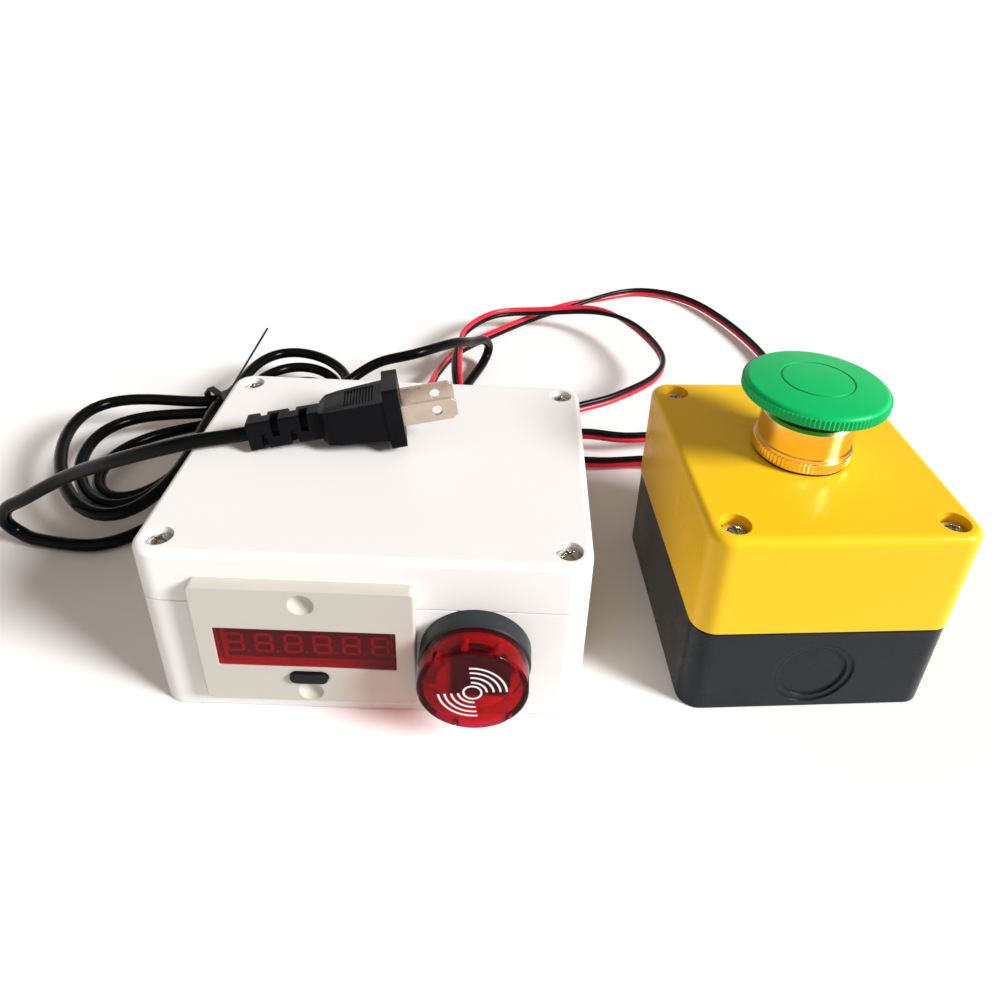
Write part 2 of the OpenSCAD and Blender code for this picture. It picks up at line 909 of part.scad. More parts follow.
module buzzer_lamp_ring() {
    inner = buzzer_bore_radius + 0.2;
    outer = lens_radius - lens_wall - 0.3;
    color("darkred")
        on_front(buzzer_offset, buzzer_centre_height)
            translate([0, 0, buzzer_ring_thickness]) {
                difference() {
                    cylinder(r = outer, h = 1.2);
                    translate([0, 0, -1]) cylinder(r = inner, h = 4);
                }
                for (i = [0 : lamps - 1])
                    rotate([0, 0, 12 + 360 * i / lamps])
                        translate([(inner + outer) / 2, 0, 1]) cylinder(r = lamp_radius, h = 3);
            }
}

module buzzer_nut() {
    color("#26282b")
        on_front(buzzer_offset, buzzer_centre_height)
            translate([0, 0, -box_wall - buzzer_nut_height])
                difference() {
                    tread(buzzer_neck_radius + 2.6, buzzer_nut_height);
                    translate([0, 0, -1])
                        cylinder(r = buzzer_neck_radius + seat, h = buzzer_nut_height + 2);
                }
}

module terminal_strip() {
    length = strip_ways * strip_pitch;
    color("#e8e4d8")
        translate([0, strip_place, box_wall])
            difference() {
                translate([-length / 2, -strip_width / 2, 0]) cube([length, strip_width, strip_height]);
                for (i = [0 : strip_ways - 1])
                    translate([(i - (strip_ways - 1) / 2) * strip_pitch, 0, 0]) {
                        translate([0, 0, strip_height / 2])
                            rotate([90, 0, 0]) cylinder(r = 1.8, h = strip_width + 4, center = true);
                        for (y = [-1, 1])
                            translate([0, y * strip_width / 4, strip_height - 4])
                                cylinder(r = 2, h = 6);
                    }
            }
}

module bushing(wall, sleeve) {
    wide = bushing_flange_radius - 0.8;
    narrow = mains_diameter / 2 + 1.1;
    grooves = floor(sleeve / 5);
    rotate([-90, 0, 0])
        rotate_extrude() {
            square([bushing_flange_radius, bushing_flange]);
            difference() {
                polygon([
                    [0, 0], [wide, 0], [narrow, bushing_flange + sleeve],
                    [0, bushing_flange + sleeve]
                ]);
                for (i = [1 : 1 : grooves - 1])
                    translate([mix(wide, narrow, i / grooves) - 0.7, bushing_flange + 5 * i - 1])
                        square([2, 1.6]);
            }
            translate([0, -wall - eps]) square([bushing_neck_radius, wall + 2 * eps]);
            translate([0, -wall - bushing_inner]) square([bushing_neck_radius + 1.2, bushing_inner]);
        }
}

module mains_bushing() {
    color("#1c1c1e") translate([mains_entry_x, box_width / 2, entry_height])
        bushing(box_wall, mains_sleeve);
}

module signal_bushing() {
    color("#1c1c1e") translate([signal_entry_x, box_width / 2, entry_height])
        bushing(box_wall, bushing_sleeve);
}

// mains lead

module mains_cord_tail() {
    color("#151617") tube(tail_line, mains_diameter / 2, mains_diameter / 2, 10);
}

module mains_hank() {
    color("#151617") tube(hank_line, mains_diameter / 2, mains_diameter / 2, 6);
}

module mains_cord_feed() {
    color("#151617") tube(feed_line, mains_diameter / 2, mains_diameter / 2, 10);
}

module cord_tie() {
    corner = tie_corner(2, tie_thickness);
    middle = corner + [-1, 1] * (tie_head[1] / 2 - 0.7) / sqrt(2);
    start = middle + [-1, 1] * 0.5;
    head = tie_place + spin_z([0, start[0], start[1]], hank_axis);
    color("#222426") {
        translate(tie_place)
            rotate([0, 0, hank_axis]) rotate([90, 0, 90]) {
                translate([0, 0, -tie_width / 2])
                    linear_extrude(tie_width)
                        difference() {
                            polygon(tie_outline(tie_thickness));
                            polygon(tie_outline(0));
                        }
                translate([middle[0], middle[1], 0])
                    rotate([0, 0, 45]) cube(tie_head, center = true);
            }
        translate(head)
            rotate([0, 0, tie_end_turn]) rotate([0, -tie_end_lift, 0]) rotate([tie_end_roll, 0, 0])
                translate([0, -tie_width / 2, -tie_thickness / 2])
                    cube([tie_end_length, tie_width, tie_thickness]);
    }
}

// plug

// half outlines of the grip, from above and from the side
module grip_outline(near, far, end) {
    neck = plug_length - sleeve_length;
    polygon([
        [-flange_thickness + eps, near], [-grip_end, far], [-grip_end - 1.5, far - 0.2],
        [-mix(grip_end, neck, 0.7), mix(far, end, 0.3)], [-neck, end],
        [-neck, -end], [-mix(grip_end, neck, 0.7), -mix(far, end, 0.3)],
        [-grip_end - 1.5, -far + 0.2], [-grip_end, -far], [-flange_thickness + eps, -near]
    ]);
}

// sunk field with ribs across it, on one broad face of the grip
module grip_field() {
    length = grip_ribs * grip_rib_pitch + 0.4;
    slope = atan((grip_thick - grip_thin) / (grip_end - flange_thickness));
    middle = (grip_end + flange_thickness) / 2 + 0.4;
    level = mix(grip_thick, grip_thin, (middle - flange_thickness) / (grip_end - flange_thickness));
    translate([-middle, 0, level])
        rotate([0, -slope, 0])
            difference() {
                translate([-length / 2, -grip_narrow + 2, -0.6])
                    cube([length, 2 * grip_narrow - 4, 2]);
                for (i = [0 : grip_ribs - 1])
                    translate([(i - (grip_ribs - 1) / 2) * grip_rib_pitch, 0, -0.6])
                        cube([grip_rib_pitch / 2, 2 * grip_narrow, 1], center = true);
            }
}

// slot through the sleeve, wide at the outside
module sleeve_slot(mouth, root, low, high) {
    translate([0, low, 0])
        rotate([-90, 0, 0])
            linear_extrude(high - low)
                polygon([
                    [-root / 2, 0.6], [root / 2, 0.6],
                    [mouth / 2, -sleeve_size / 2 - eps], [mouth / 2, -sleeve_size],
                    [-mouth / 2, -sleeve_size], [-mouth / 2, -sleeve_size / 2 - eps]
                ]);
}

module plug_body() {
    sleeve = sleeve_size;
    color("#1e2022")
        in_plug() {
            translate([-flange_thickness, 0, 0]) rotate([90, 0, 90])
                slab(plug_width, plug_height, flange_thickness, flange_corner);
            difference() {
                intersection() {
                    translate([0, 0, -plug_height]) linear_extrude(2 * plug_height)
                        grip_outline(grip_wide, grip_narrow, sleeve / 2 + 0.2);
                    rotate([90, 0, 0]) translate([0, 0, -plug_width]) linear_extrude(2 * plug_width)
                        grip_outline(grip_thick, grip_thin, sleeve / 2 + 0.1);
                }
                grip_field();
                rotate([180, 0, 0]) grip_field();
            }
            difference() {
                translate([-plug_length, 0, 0]) rotate([90, 0, 90])
                    slab(sleeve, sleeve, sleeve_length + 1, sleeve_corner);
                difference() {
                    for (i = [0 : 1], turn = [0, 180])
                        rotate([turn, 0, 0])
                            translate([-plug_length + slot_pitch * i, 0, 0]) {
                                translate([7.8, 0, 0]) sleeve_slot(2.5, 2.1, -sleeve, 1.4);
                                translate([4.4, 0, 0]) sleeve_slot(2.4, 1.2, 1, sleeve);
                            }
                    translate([-plug_length - 1, 0, 0]) rotate([0, 90, 0])
                        cylinder(r = mains_diameter / 2 + 0.2, h = sleeve_length + 4);
                }
            }
        }
}

module plug_blades() {
    color("#c9bfae")
        in_plug()
            for (s = [-1, 1])
                translate([0, s * blade_spacing / 2 + blade_thickness / 2, 0]) rotate([90, 0, 0])
                    linear_extrude(blade_thickness)
                        difference() {
                            polygon([
                                [0, -blade_width / 2], [blade_length - 1.4, -blade_width / 2],
                                [blade_length, -blade_width / 2 + 1.2], [blade_length, blade_width / 2 - 1.2],
                                [blade_length - 1.4, blade_width / 2], [0, blade_width / 2]
                            ]);
                            translate([10.2, 0]) circle(blade_hole_radius);
                        }
}

module signal_cable() {
    color("#a01c28") tube(twin_line, twin_thickness / 2, twin_height / 2, 8);
}

// push button station

module knockout(depth_ring, depth_disc) {
    translate([0, 0, -depth_ring]) cylinder(r = knockout_radius, h = depth_ring + 1);
    translate([0, 0, -depth_disc]) cylinder(r = knockout_radius - 1.9, h = depth_disc + 1);
}

module remote_base() {
    color("#2c3034")
        in_station()
            difference() {
                union() {
                    difference() {
                        union() {
                            slab(station_length - 0.6, station_width - 0.6,
                                station_base_height - 0.8, station_corner - 0.3);
                            slab(station_length - 1.6, station_width - 1.6,
                                station_base_height, station_corner - 0.8);
                        }
                        translate([0, 0, station_floor])
                            slab(station_length - 2 * station_wall, station_width - 2 * station_wall,
                                station_height, station_corner - station_wall);
                    }
                    at_corners(cover_screw_x, cover_screw_y)
                        cylinder(r = station_post_radius, h = station_base_height);
                }
                at_corners(cover_screw_x, cover_screw_y)
                    translate([0, 0, cover_head_seat - cover_screw_length - 1])
                        cylinder(r = screw_shank_radius + seat, h = station_height);
                translate([0, -station_width / 2 + 0.3, knockout_centre_height])
                    rotate([90, 0, 0]) knockout(0.5, 1.1);
                translate([0, station_width / 2 + 1, entry_height])
                    rotate([90, 0, 0]) cylinder(r = bushing_neck_radius + seat, h = station_wall + 2);
            }
}

module remote_cover() {
    cover_height = station_height - station_base_height;
    color("gold")
        in_station()
            difference() {
                union() {
                    difference() {
                        translate([0, 0, station_base_height])
                            crowned_block(station_length, station_width, cover_height,
                                station_corner, cover_edge);
                        translate([0, 0, station_base_height - 1])
                            slab(station_length - 2 * station_wall, station_width - 2 * station_wall,
                                cover_height - station_wall + 1, station_corner - station_wall);
                    }
                    at_corners(cover_screw_x, cover_screw_y)
                        translate([0, 0, station_base_height])
                            cylinder(r = cover_post_radius, h = cover_height - cover_edge);
                }
                at_corners(cover_screw_x, cover_screw_y) {
                    translate([0, 0, cover_head_seat])
                        cylinder(r = cover_well_radius, h = station_height);
                    cylinder(r = screw_shank_radius + seat, h = station_height);
                }
                cylinder(r = body_hole_radius, h = station_height + 1);
                translate([0, 0, station_base_height - 1])
                    gasket_ring(station_length, station_width, station_corner, station_wall,
                        gasket_height + 1 + seat, seat);
            }
}

module remote_gasket() {
    color("dimgray")
        in_station()
            translate([0, 0, station_base_height])
                gasket_ring(station_length, station_width, station_corner, station_wall,
                    gasket_height, 0);
}

module remote_screws() {
    color("silver")
        in_station()
            at_corners(cover_screw_x, cover_screw_y)
                translate([0, 0, cover_head_seat]) pan_screw(cover_screw_length);
}

module remote_bushing() {
    color("#1c1c1e")
        in_station()
            translate([0, station_width / 2, entry_height]) bushing(station_wall, bushing_sleeve);
}

// push button

module button_bezel() {
    bore = plunger_radius + slide_play;
    color("#d9a441")
        in_station()
            rotate_extrude() {
                translate([bore, ledge_top]) square([button_body_radius - bore, ring_top - ledge_top + eps]);
                translate([rod_radius + slide_play, body_bottom])
                    square([button_body_radius - rod_radius - slide_play, ledge_height]);
                polygon([
                    [bore, ring_top], [neck_radius, ring_top], [neck_radius, neck_top - 0.8],
                    [neck_radius - 0.8, neck_top], [bore, neck_top]
                ]);
            }
}

module bezel_ring() {
    color("#d9a441")
        in_station()
            difference() {
                union() {
                    translate([0, 0, ring_bottom + 0.5]) tread(ring_radius, ring_height - 1.6);
                    translate([0, 0, ring_bottom])
                        cylinder(r = ring_radius - knurl_depth - 0.1, h = ring_height);
                }
                translate([0, 0, ring_bottom - 1]) cylinder(r = ring_bore_radius, h = ring_height + 2);
            }
}

module button_seal() {
    color("#1a1a1a")
        in_station()
            translate([0, 0, station_height])
                difference() {
                    cylinder(r = ring_radius - 0.7, h = seal_height);
                    translate([0, 0, -1]) cylinder(r = ring_bore_radius, h = 4);
                }
}

module mounting_collar() {
    color("#8c8f94")
        in_station()
            translate([0, 0, station_height - station_wall - collar_height])
                difference() {
                    tread(button_body_radius + 3, collar_height);
                    translate([0, 0, -1]) cylinder(r = ring_bore_radius, h = collar_height + 2);
                }
}

module button_head() {
    core = head_radius - knurl_depth - 0.1;
    flat = core - head_round;
    dome_radius = (flat * flat + head_dome * head_dome) / (2 * head_dome);
    dome_centre = head_top + head_dome - dome_radius;
    line_height = dome_centre
        + sqrt(dome_radius * dome_radius - head_line_radius * head_line_radius);
    color("#12a552")
        in_station() {
            translate([0, 0, head_bottom + 0.3])
                tread(head_radius, head_rim_height - head_round + 0.3);
            rotate_extrude()
                difference() {
                    union() {
                        translate([0, head_bottom]) square([core, head_rim_height - head_round]);
                        translate([0, head_bottom]) square([flat, head_rim_height]);
                        translate([flat, head_top - head_round]) circle(head_round);
                        intersection() {
                            translate([0, dome_centre]) circle(dome_radius, $fn = 400);
                            translate([0, head_top - eps]) square([flat, head_dome + 1]);
                        }
                    }
                    translate([head_line_radius - 0.3, line_height - 0.25]) square([0.6, 1]);
                }
        }
}

module button_stem() {
    color("#33363a")
        in_station() {
            translate([0, 0, plunger_bottom])
                cylinder(r = plunger_radius, h = head_bottom - plunger_bottom);
            translate([0, 0, rod_bottom])
                cylinder(r = rod_radius, h = plunger_bottom - rod_bottom + eps);
        }
}

spring_radius = (rod_radius + plunger_radius) / 2;
spring_bottom = ledge_top + spring_wire / 2 + seat;
spring_top = plunger_bottom - spring_wire / 2 - seat;
spring_line = [
    for (i = [0 : round(16 * spring_turns)])
        let (a = i * 22.5, t = i / round(16 * spring_turns))
        [spring_radius * cos(a), spring_radius * sin(a), mix(spring_bottom, spring_top, t)]
];

module button_spring() {
    color("silver")
        in_station() tube(spring_line, spring_wire / 2, spring_wire / 2, 6);
}

module contact_block() {
    color("#e9e6dc")
        in_station()
            difference() {
                translate([-block_length / 2, -block_width / 2, block_bottom])
                    cube([block_length, block_width, block_height]);
                translate([-block_slot[0] / 2, -block_slot[1] / 2, contact_top - 3])
                    cube([block_slot[0], block_slot[1], 2 * block_height]);
                for (x = [-1, 1])
                    translate([x * (block_length / 2 - 1), 0, contact_top - 1.5])
                        cube([8, 6, 3.1], center = true);
            }
}

module contact_plunger() {
    color("#c8c4ba")
        in_station() {
            translate([-2.5, -2.5, bridge_bottom]) cube([5, 5, rod_bottom - bridge_bottom]);
            translate([-7, -1.8, bridge_bottom]) cube([14, 3.6, bridge_height]);
        }
}

module contact_terminals() {
    color("#caa45a")
        in_station()
            for (x = [-1, 1])
                translate([x * (block_length / 2 - 1), 0, contact_top - 1.5]) {
                    translate([-x * 1.5, 0, 0]) cube([13, 5.6, 1], center = true);
                    translate([x * 3.2, 0, 0.5 - eps]) cylinder(r = 1.8, h = 1.5);
                    translate([-x * 5.6, 0, 0.4]) cylinder(r = 1.2, h = 1.1);
                }
}

counter_base();
counter_lid();
lid_gasket();
lid_screws();
display_panel();
display_window();
digit_display();
digit_segments();
counter_case();
counter_board();
reset_button();
reset_switch();
buzzer_bezel();
buzzer_lens();
buzzer_sounder();
buzzer_lamp_ring();
buzzer_nut();
terminal_strip();
mains_bushing();
signal_bushing();
mains_cord_tail();
mains_hank();
mains_cord_feed();
cord_tie();
plug_body();
plug_blades();
signal_cable();
remote_base();
remote_cover();
remote_gasket();
remote_screws();
remote_bushing();
button_bezel();
bezel_ring();
button_seal();
mounting_collar();
button_head();
button_stem();
button_spring();
contact_block();
contact_plunger();
contact_terminals();
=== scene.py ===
from math import cos, pi, radians, sin, sqrt

import bmesh
import bpy
from mathutils import Matrix, Vector


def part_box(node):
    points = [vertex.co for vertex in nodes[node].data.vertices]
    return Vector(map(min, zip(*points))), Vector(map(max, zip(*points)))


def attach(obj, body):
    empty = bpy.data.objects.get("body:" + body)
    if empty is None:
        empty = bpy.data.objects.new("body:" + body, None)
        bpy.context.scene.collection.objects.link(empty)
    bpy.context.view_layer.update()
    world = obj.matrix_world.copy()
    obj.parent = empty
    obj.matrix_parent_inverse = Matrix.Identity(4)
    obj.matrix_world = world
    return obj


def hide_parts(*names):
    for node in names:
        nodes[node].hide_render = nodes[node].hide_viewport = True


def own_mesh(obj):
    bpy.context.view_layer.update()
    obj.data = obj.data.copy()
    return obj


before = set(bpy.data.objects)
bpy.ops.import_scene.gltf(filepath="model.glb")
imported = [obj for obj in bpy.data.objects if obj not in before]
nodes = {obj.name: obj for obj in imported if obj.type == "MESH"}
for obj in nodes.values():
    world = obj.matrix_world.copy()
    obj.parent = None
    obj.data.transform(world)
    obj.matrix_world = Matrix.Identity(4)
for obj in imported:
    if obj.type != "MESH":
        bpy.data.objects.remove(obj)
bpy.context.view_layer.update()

MM = 0.001
scene = bpy.context.scene

# Camera: stands where the photograph was taken from, a hand's length in front
# of the white box and a little to its right, looking down on both boxes.
camera_place = Vector((35.35, -192.75, 188.0)) * MM
pitch_down, yaw_right, roll = radians(30.2548), radians(1.4333), radians(3.1756)
sensor_width, focal_share = 36, 0.7988685
ahead = Vector((sin(yaw_right) * cos(pitch_down), cos(yaw_right) * cos(pitch_down),
                -sin(pitch_down)))
level_right = Vector((cos(yaw_right), -sin(yaw_right), 0))
level_up = level_right.cross(ahead)
camera_right = level_right * cos(roll) + level_up * sin(roll)
camera_up = level_up * cos(roll) - level_right * sin(roll)


def put(name, data):
    """A new object in the scene, at the origin, that holds a mesh, curve, lamp or camera."""
    made = bpy.data.objects.new(name, data)
    scene.collection.objects.link(made)
    return made


camera_data = bpy.data.cameras.new("camera")
camera_data.sensor_width = sensor_width
camera_data.lens = sensor_width * focal_share
camera_data.shift_x = -0.030361
camera_data.shift_y = -0.102356
camera_data.clip_start = 0.01
camera = put("camera", camera_data)
turn = Matrix((camera_right, camera_up, -ahead)).transposed().to_4x4()
camera.matrix_world = Matrix.Translation(camera_place) @ turn
scene.camera = camera

# Mains lead: round black PVC lead, 4.4 mm thick, extruded smooth and a little
# glossy. It leaves the back wall, is wound into a hank that a tie holds, and
# comes over the left side of the lid to its plug.
lead_diameter = 4.4
hank_turns, hank_step, hank_base = 3.14, 5, 3.2
hank_waist = Vector((-82.4, 88.9, 0))
hank_start, hank_axis, hank_bend = -110, 47.3, 10.6
hank_lean, hank_soften, hank_straight = 0.44, 0.3, 0.75
hank_waist_half = lead_diameter / 2 + 0.5
# each lobe's width below and above its long axis, and its reach from the waist:
# what it is at the start, and what a loop adds
left_lower, left_upper, left_reach = (9.6, 9.9), (5, 12.1), (52.8, 5.6)
right_lower, right_upper, right_reach = (16, 5), (6.8, 5), (46.4, 2.6)


def mix(a, b, t):
    return a * (1 - t) + b * t


def hank_point(degree):
    """The hank's two lobes, drawn in at the waist, each loop wider and one step higher."""
    loops = (degree - hank_start) / 360

    def grown(size):
        return size[0] + size[1] * loops

    c, s = cos(radians(degree)), sin(radians(degree))
    left, upper = (1 - c) / 2, (1 + s) / 2
    pull = ((sqrt(c * c + hank_soften ** 2) - hank_soften)
            / (sqrt(1 + hank_soften ** 2) - hank_soften))
    left_width = mix(grown(left_lower), grown(left_upper), upper)
    right_width = mix(grown(right_lower), grown(right_upper), upper)
    reach = mix(grown(right_reach), grown(left_reach), left)
    across = s * (hank_waist_half + 2 * mix(right_width, left_width, left) * pull)
    along = c * reach * (hank_straight + (1 - hank_straight) * pull) + hank_lean * across * left
    turned = radians(hank_axis + hank_bend * left)
    return hank_waist + Vector((along * cos(turned) - across * sin(turned),
                                along * sin(turned) + across * cos(turned),
                                hank_base + hank_step * loops))


def hank_line(stretches):
    return [hank_point(hank_start + 360 * hank_turns * i / stretches)
            for i in range(stretches + 1)]


def catmull(points, steps):
    """Smooth line through points, steps pieces to each stretch."""
    line = []
    last = len(points) - 1
    for i in range(last):
        a, b, c, d = (Vector(points[max(0, min(last, k))]) for k in (i - 1, i, i + 1, i + 2))
        for step in range(steps):
            t = step / steps
            line.append(0.5 * (2 * b + (c - a) * t + (2 * a - 5 * b + 4 * c - d) * t * t
                               + (3 * b - a - 3 * c + d) * t ** 3))
    return line + [Vector(points[last])]


# the ways into and out of the hank are those of the solid, which has fewer rings
rings_a_turn, finer = 24, 4
hank_rings = round(rings_a_turn * hank_turns)
coarse, fine = hank_line(hank_rings), hank_line(finer * hank_rings)
into_hank = (coarse[1] - coarse[0]).normalized()
out_of_hank = (coarse[-1] - coarse[-2]).normalized()

plug_face, plug_length = Vector((2.5, 10.1, 64.599)), 44
plug_turn, plug_lift, plug_roll = 11, 7.75, -7.5
plug_pose = (Matrix.Translation(plug_face) @ Matrix.Rotation(radians(plug_turn), 4, "Z")
             @ Matrix.Rotation(radians(-plug_lift), 4, "Y")
             @ Matrix.Rotation(radians(plug_roll), 4, "X"))
tail_route = [
    (-59, -2, 56.4), (-81, 2, 47), (-103, 10, 34), (-121, 13, 22), (-129, 14.6, 16.5),
    (-132, 16, 10), (-129, 16.8, 4.6), (-122, 15.5, 2.7), (-103, 14, 2.7), (-91, 22, 2.7),
    (-85, 36, 2.7),
]
feed_route = [
    (-37, 93.5, 19.2), (-34.5, 101, 20.5), (-23, 109.5, 25.6), (-7, 109, 31), (8, 127, 28),
    (15, 143, 21), (20, 154.5, 16.4), (22.3, 160.4, 9.7), (19.6, 154.4, 3.5), (11, 122, 3),
]
box_width, entry_height, mains_entry_x = 90, 11, 10.5
bushing_flange, mains_sleeve = 1.6, 20
mains_exit = Vector((mains_entry_x, box_width / 2 + bushing_flange + mains_sleeve, entry_height))
# how far it runs straight at the plug, at both ends of the hank and at the wall
plug_straight, tail_straight, feed_straight, wall_straight = 6, 6, 3, 8
route_steps = 6
tail_start = plug_pose @ Vector((-plug_length, 0, 0))
tail_line = [tail_start] + catmull(
    [plug_pose @ Vector((-plug_length - plug_straight, 0, 0))] + tail_route
    + [coarse[0] - into_hank * (lead_diameter + tail_straight)], route_steps)
feed_line = catmull(
    [coarse[-1] + out_of_hank * (lead_diameter + feed_straight)] + feed_route
    + [mains_exit + Vector((0, wall_straight, 0))], route_steps) + [mains_exit]
lead_line = [p * MM for p in (tail_line + fine + feed_line)][::-1]

lead_curve = bpy.data.curves.new("mains_lead", "CURVE")
lead_curve.dimensions = "3D"
lead_curve.bevel_depth = lead_diameter / 2 * MM
lead_curve.bevel_resolution = 5
lead_curve.use_fill_caps = True
spline = lead_curve.splines.new("POLY")
spline.points.add(len(lead_line) - 1)
for point, place in zip(spline.points, lead_line):
    point.co = (*place, 1)
mains_lead = put("mains_lead", lead_curve)


def linear(code):
    """A hex code's colour as the shader wants it."""
    parts = [int(code[i:i + 2], 16) / 255 for i in (1, 3, 5)]
    return tuple(p / 12.92 if p <= 0.04045 else ((p + 0.055) / 1.055) ** 2.4
                 for p in parts) + (1.0,)


def add(tree, kind, values=None, **settings):
    """Adds a node; values sets or links its inputs by name or number, settings its options."""
    made = tree.nodes.new(kind)
    for name, value in settings.items():
        setattr(made, name, value)
    for key, value in (values or {}).items():
        if isinstance(value, bpy.types.NodeSocket):
            tree.links.new(value, made.inputs[key])
        else:
            made.inputs[key].default_value = value
    return made


def blank_tree(owner):
    """The node tree of a material or world, with nothing in it."""
    owner.use_nodes = True
    owner.node_tree.nodes.clear()
    return owner.node_tree


def start_material(name, **surface):
    """A material with one Principled shader; its sockets are set by name."""
    material = bpy.data.materials.new(name)
    tree = blank_tree(material)
    sockets = {key.replace("_", " "): value for key, value in surface.items()}
    shader = add(tree, "ShaderNodeBsdfPrincipled", sockets)
    add(tree, "ShaderNodeOutputMaterial", {"Surface": shader.outputs[0]})
    return material, tree, shader


def grain(tree, shader, size_mm, depth_mm, edge_mm=0.0):
    """Fine bumps of one size all over, on edges that catch the light as if a little rounded."""
    place = add(tree, "ShaderNodeTexCoord")
    noise = add(tree, "ShaderNodeTexNoise", {
        "Vector": place.outputs["Object"], "Scale": 1 / (size_mm * MM), "Detail": 2.0})
    values = {"Height": noise.outputs[0], "Distance": depth_mm * MM}
    if edge_mm:
        edge = add(tree, "ShaderNodeBevel", {"Radius": edge_mm * MM}, samples=6)
        values["Normal"] = edge.outputs[0]
    bump = add(tree, "ShaderNodeBump", values)
    tree.links.new(bump.outputs[0], shader.inputs["Normal"])
    return place


# the colour sockets of a Mix node, which have the same names as its other ones
mix_a, mix_b, mix_result = 6, 7, 2


def mottle(tree, shader, place, dark, light, size_mm):
    """Colour that drifts between two near shades, as moulded plastic does."""
    cloud = add(tree, "ShaderNodeTexNoise", {
        "Vector": place.outputs["Object"], "Scale": 1 / (size_mm * MM), "Detail": 3.0})
    shades = add(tree, "ShaderNodeMix", {
        0: cloud.outputs[0], mix_a: linear(dark), mix_b: linear(light)}, data_type="RGBA")
    tree.links.new(shades.outputs[mix_result], shader.inputs["Base Color"])
    return shades.outputs[mix_result]


def handled(tree, shader, place, clean, worn, size_mm):
    """Roughness that drifts from clean to handled, which breaks up a highlight."""
    smear = add(tree, "ShaderNodeTexNoise", {
        "Vector": place.outputs["Object"], "Scale": 1 / (size_mm * MM), "Detail": 5.0})
    level = add(tree, "ShaderNodeMapRange", {
        "Value": smear.outputs[0], "From Min": 0.35, "From Max": 0.7,
        "To Min": clean, "To Max": worn})
    tree.links.new(level.outputs[0], shader.inputs["Roughness"])


# PVC, extruded: near black, with a narrow bright line where it faces the window
lead_pvc, tree, shader = start_material("black_pvc_extruded", IOR=1.52, Specular_IOR_Level=0.08)
place = grain(tree, shader, size_mm=1.6, depth_mm=0.03)
mottle(tree, shader, place, "#030404", "#08090A", size_mm=9)
handled(tree, shader, place, clean=0.15, worn=0.26, size_mm=14)
lead_curve.materials.append(lead_pvc)

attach(mains_lead, "counter_set")
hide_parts("mains_cord_tail", "mains_hank", "mains_cord_feed")

# Signal cable: two PVC cores, one black and one red, 2.5 mm each, extruded
# side by side as one flat twin. It joins the counter to the push button and
# rolls over as it goes, so that now one core and now the other is on top.
core_radius, core_weld, core_sides = 1.25, 0.07, 14
twin_route = [
    (-7.5, 66, 11), (-6, 86, 10), (-4, 106, 9), (-2, 124, 8), (0, 142, 6), (7, 165, 4.4),
    (25, 190, 3.6), (51, 219, 3), (80, 242, 3), (110, 257, 3),
    (138, 245, 3), (158, 204, 3), (165, 160, 3), (152, 118, 4),
    (120, 95, 8), (86, 84, 9.5), (66, 87, 8.5), (48, 89, 5), (28, 94, 3.4), (15, 105, 7.5),
    (10, 122, 12), (8, 148, 13), (10, 172, 12.5), (24, 196, 11.5), (50, 204, 11), (78, 201, 14),
    (96, 184, 14), (106, 152, 14), (100, 129, 14), (80, 109, 14), (62, 98, 14), (50, 89, 14),
    (44, 79, 10), (52, 72, 6), (72, 73, 4), (92, 75, 4.5), (108, 70, 7.5),
]
# how far the twin has rolled over, in degrees, at places counted along its route
twin_roll = [(0, 180), (6.8, 180), (8.6, 0), (18.6, 0), (20.5, -90), (22.2, -180),
             (24.2, -180), (26.4, -360)]
station_place, station_turn, station_width = Vector((119.3, 0.7, 0)), radians(4.3), 80
station_pose = Matrix.Translation(station_place) @ Matrix.Rotation(station_turn, 4, "Z")
signal_entry_x, bushing_sleeve, twin_straight = -8, 5, 7
signal_exit = Vector((
    signal_entry_x, box_width / 2 + bushing_flange + bushing_sleeve, entry_height))
station_back = station_width / 2 + bushing_flange + bushing_sleeve
station_exit = station_pose @ Vector((0, station_back, entry_height))
station_lead = station_pose @ Vector((0, station_back + twin_straight, entry_height))
twin_steps = 7
twin_line = [p * MM for p in (
    [signal_exit]
    + catmull([signal_exit + Vector((0, twin_straight, 0))] + twin_route + [station_lead],
              twin_steps)
    + [station_exit])]


def between(table, at):
    """Reads a table of place and value pairs, easing from each value to the next."""
    if at <= table[0][0]:
        return table[0][1]
    for (a, low), (b, high) in zip(table, table[1:]):
        if at <= b:
            t = (at - a) / (b - a)
            return mix(low, high, t * t * (3 - 2 * t))
    return table[-1][1]


def ring_frame(line, i):
    """The way a line runs at one of its points, its level side and its upright."""
    along = (line[min(i + 1, len(line) - 1)] - line[max(i - 1, 0)]).normalized()
    side = along.cross(Vector((0, 0, 1))).normalized()
    return along, side, side.cross(along)


def join_rings(faces, first, sides, stretches, capped=True):
    """Adds a tube's faces, where its rings of points follow each other from first on."""
    for i in range(stretches):
        for k in range(sides):
            a, b = first + i * sides + k, first + i * sides + (k + 1) % sides
            faces.append((a, b, b + sides, a + sides))
    if capped:
        faces.append([first + k for k in range(sides)][::-1])
        faces.append([first + stretches * sides + k for k in range(sides)])


def mesh_of(name, points, faces, smooth=False):
    mesh = bpy.data.meshes.new(name)
    mesh.from_pydata(points, [], faces)
    if smooth:
        mesh.polygons.foreach_set("use_smooth", [True] * len(faces))
    return mesh


